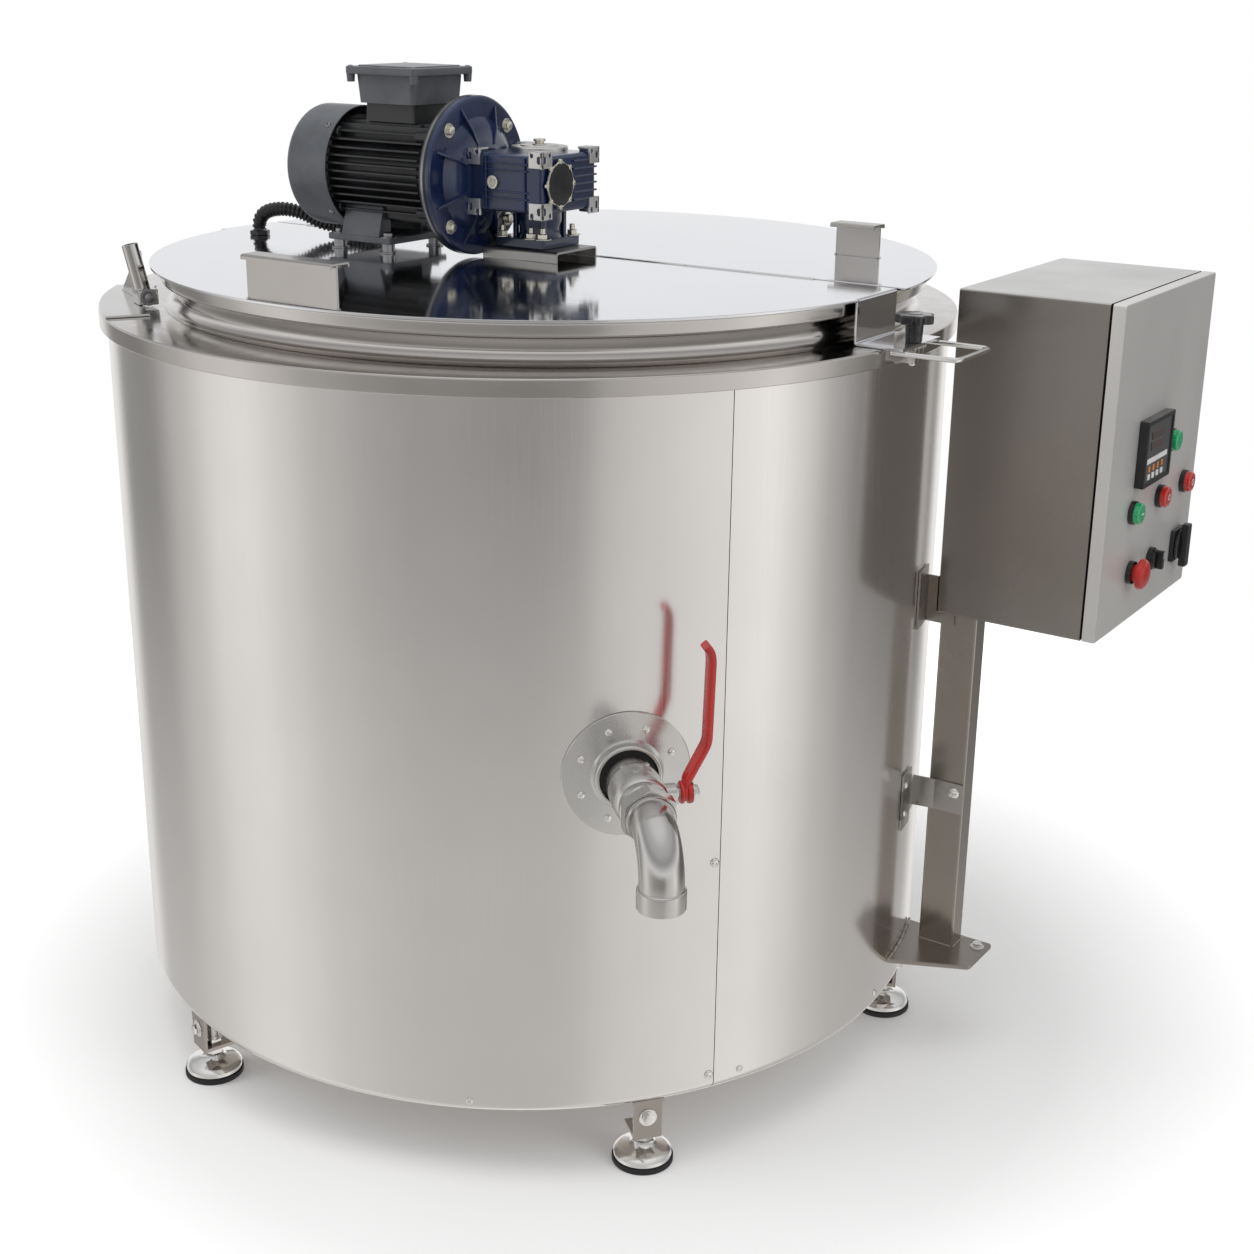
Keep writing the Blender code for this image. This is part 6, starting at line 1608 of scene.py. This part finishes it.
def build_world():
    """A plain white world; reflections see a studio that is darker around the camera."""
    world = bpy.data.worlds.new("studio")
    bpy.context.scene.world = world
    world.use_nodes = True
    tree = world.node_tree
    tree.nodes.clear()
    place = tree.nodes.new("ShaderNodeTexCoord")
    turn = tree.nodes.new("ShaderNodeMapping")
    turn.vector_type = "TEXTURE"
    turn.inputs["Rotation"].default_value = (0.0, 0.0, atan2(CAMERA_AT[1], CAMERA_AT[0]))
    split = tree.nodes.new("ShaderNodeSeparateXYZ")
    tree.links.new(place.outputs["Generated"], turn.inputs["Vector"])
    tree.links.new(turn.outputs["Vector"], split.inputs["Vector"])
    bearing = tree.nodes.new("ShaderNodeMath")
    bearing.operation = "ARCTAN2"
    tree.links.new(split.outputs["Y"], bearing.inputs[0])
    tree.links.new(split.outputs["X"], bearing.inputs[1])
    around = spread(tree, bearing.outputs[0], 0.0, 1.0, -pi, pi)
    horizon = levels_ramp(tree, around, [((degrees + 180) / 360, level)
                                         for degrees, level in STUDIO_LEVELS], (1.0, 0.985, 0.970))
    height = split.outputs["Z"]
    sky = levels_ramp(tree, spread(tree, height, 0.0, 1.0, -1.0, 1.0), SKY_LEVELS,
                      (0.98, 0.985, 1.0))
    studio = tree.nodes.new("ShaderNodeMixRGB")
    tree.links.new(spread(tree, height, 0.0, 1.0, -0.02, 0.12), studio.inputs["Fac"])
    tree.links.new(horizon, studio.inputs["Color1"])
    tree.links.new(sky, studio.inputs["Color2"])

    grounded = tree.nodes.new("ShaderNodeMixRGB")
    grounded.inputs["Color2"].default_value = (*GROUND_TONE, 1.0)
    tree.links.new(spread(tree, height, GROUND_SHARE, 0.0, -0.50, -0.26), grounded.inputs["Fac"])
    tree.links.new(studio.outputs["Color"], grounded.inputs["Color1"])

    path = tree.nodes.new("ShaderNodeLightPath")
    mirrored = world_light(tree, grounded.outputs["Color"], 1.0)
    ambient = world_light(tree, None, AMBIENT)
    white = world_light(tree, None, 1.0)
    first = tree.nodes.new("ShaderNodeMixShader")
    tree.links.new(path.outputs["Is Glossy Ray"], first.inputs["Fac"])
    tree.links.new(ambient, first.inputs[1])
    tree.links.new(mirrored, first.inputs[2])
    last = tree.nodes.new("ShaderNodeMixShader")
    tree.links.new(path.outputs["Is Camera Ray"], last.inputs["Fac"])
    tree.links.new(first.outputs[0], last.inputs[1])
    tree.links.new(white, last.inputs[2])
    out = tree.nodes.new("ShaderNodeOutputWorld")
    tree.links.new(last.outputs[0], out.inputs["Surface"])


def world_light(tree, colour, strength):
    made = tree.nodes.new("ShaderNodeBackground")
    made.inputs["Color"].default_value = (1, 1, 1, 1)
    made.inputs["Strength"].default_value = strength
    if colour is not None:
        tree.links.new(colour, made.inputs["Color"])
    return made.outputs[0]


def soft_box(name, place, target, size, power):
    data = bpy.data.lights.new(name, "AREA")
    data.shape = "RECTANGLE"
    data.size, data.size_y = size
    data.energy = power
    lamp = bpy.data.objects.new(name, data)
    lamp.location = place
    facing = Vector(target) - Vector(place)
    lamp.rotation_euler = facing.to_track_quat("-Z", "Y").to_euler()
    lamp.visible_camera = False
    bpy.context.scene.collection.objects.link(lamp)
    return lamp


def build_lights():
    top = soft_box("top_box", (0.1, -0.3, 3.2), (0, 0, 0.6), (3.2, 3.2), 60)
    left = soft_box("left_box", (-2.2, -2.2, 2.2), (0, 0, 0.8), (1.6, 2.2), 32)
    right = soft_box("right_box", (2.8, -0.4, 2.0), (0.2, 0, 0.8), (1.2, 2.0), 18)
    for lamp in (top, left, right):
        lamp.visible_glossy = False


build_camera()
build_world()
build_floor()
build_lights()
build_shell()
build_rim()
build_vessel()
build_lids()
sheet_handle("front_handle_plate", FRONT_LID, (-0.030, 0.102), -0.4865, 0.050,
             (-0.010, 0.020), "front_handle")
sheet_handle("rear_handle_plate", "rear_lid_assembly", (0.317, 0.380), 0.240, 0.043,
             (-0.020, 0.012), "rear_handle")
build_clamp()
build_lid_hinge()
build_channel()
build_gearbox()
build_motor()
build_rosette()
build_valve()
build_elbow()
build_lever()
build_feet()
build_column()
build_post()
build_cabinet()
build_controls()
finish_cad_nodes()

bpy.context.scene.view_settings.view_transform = "Standard"
bpy.context.view_layer.update()
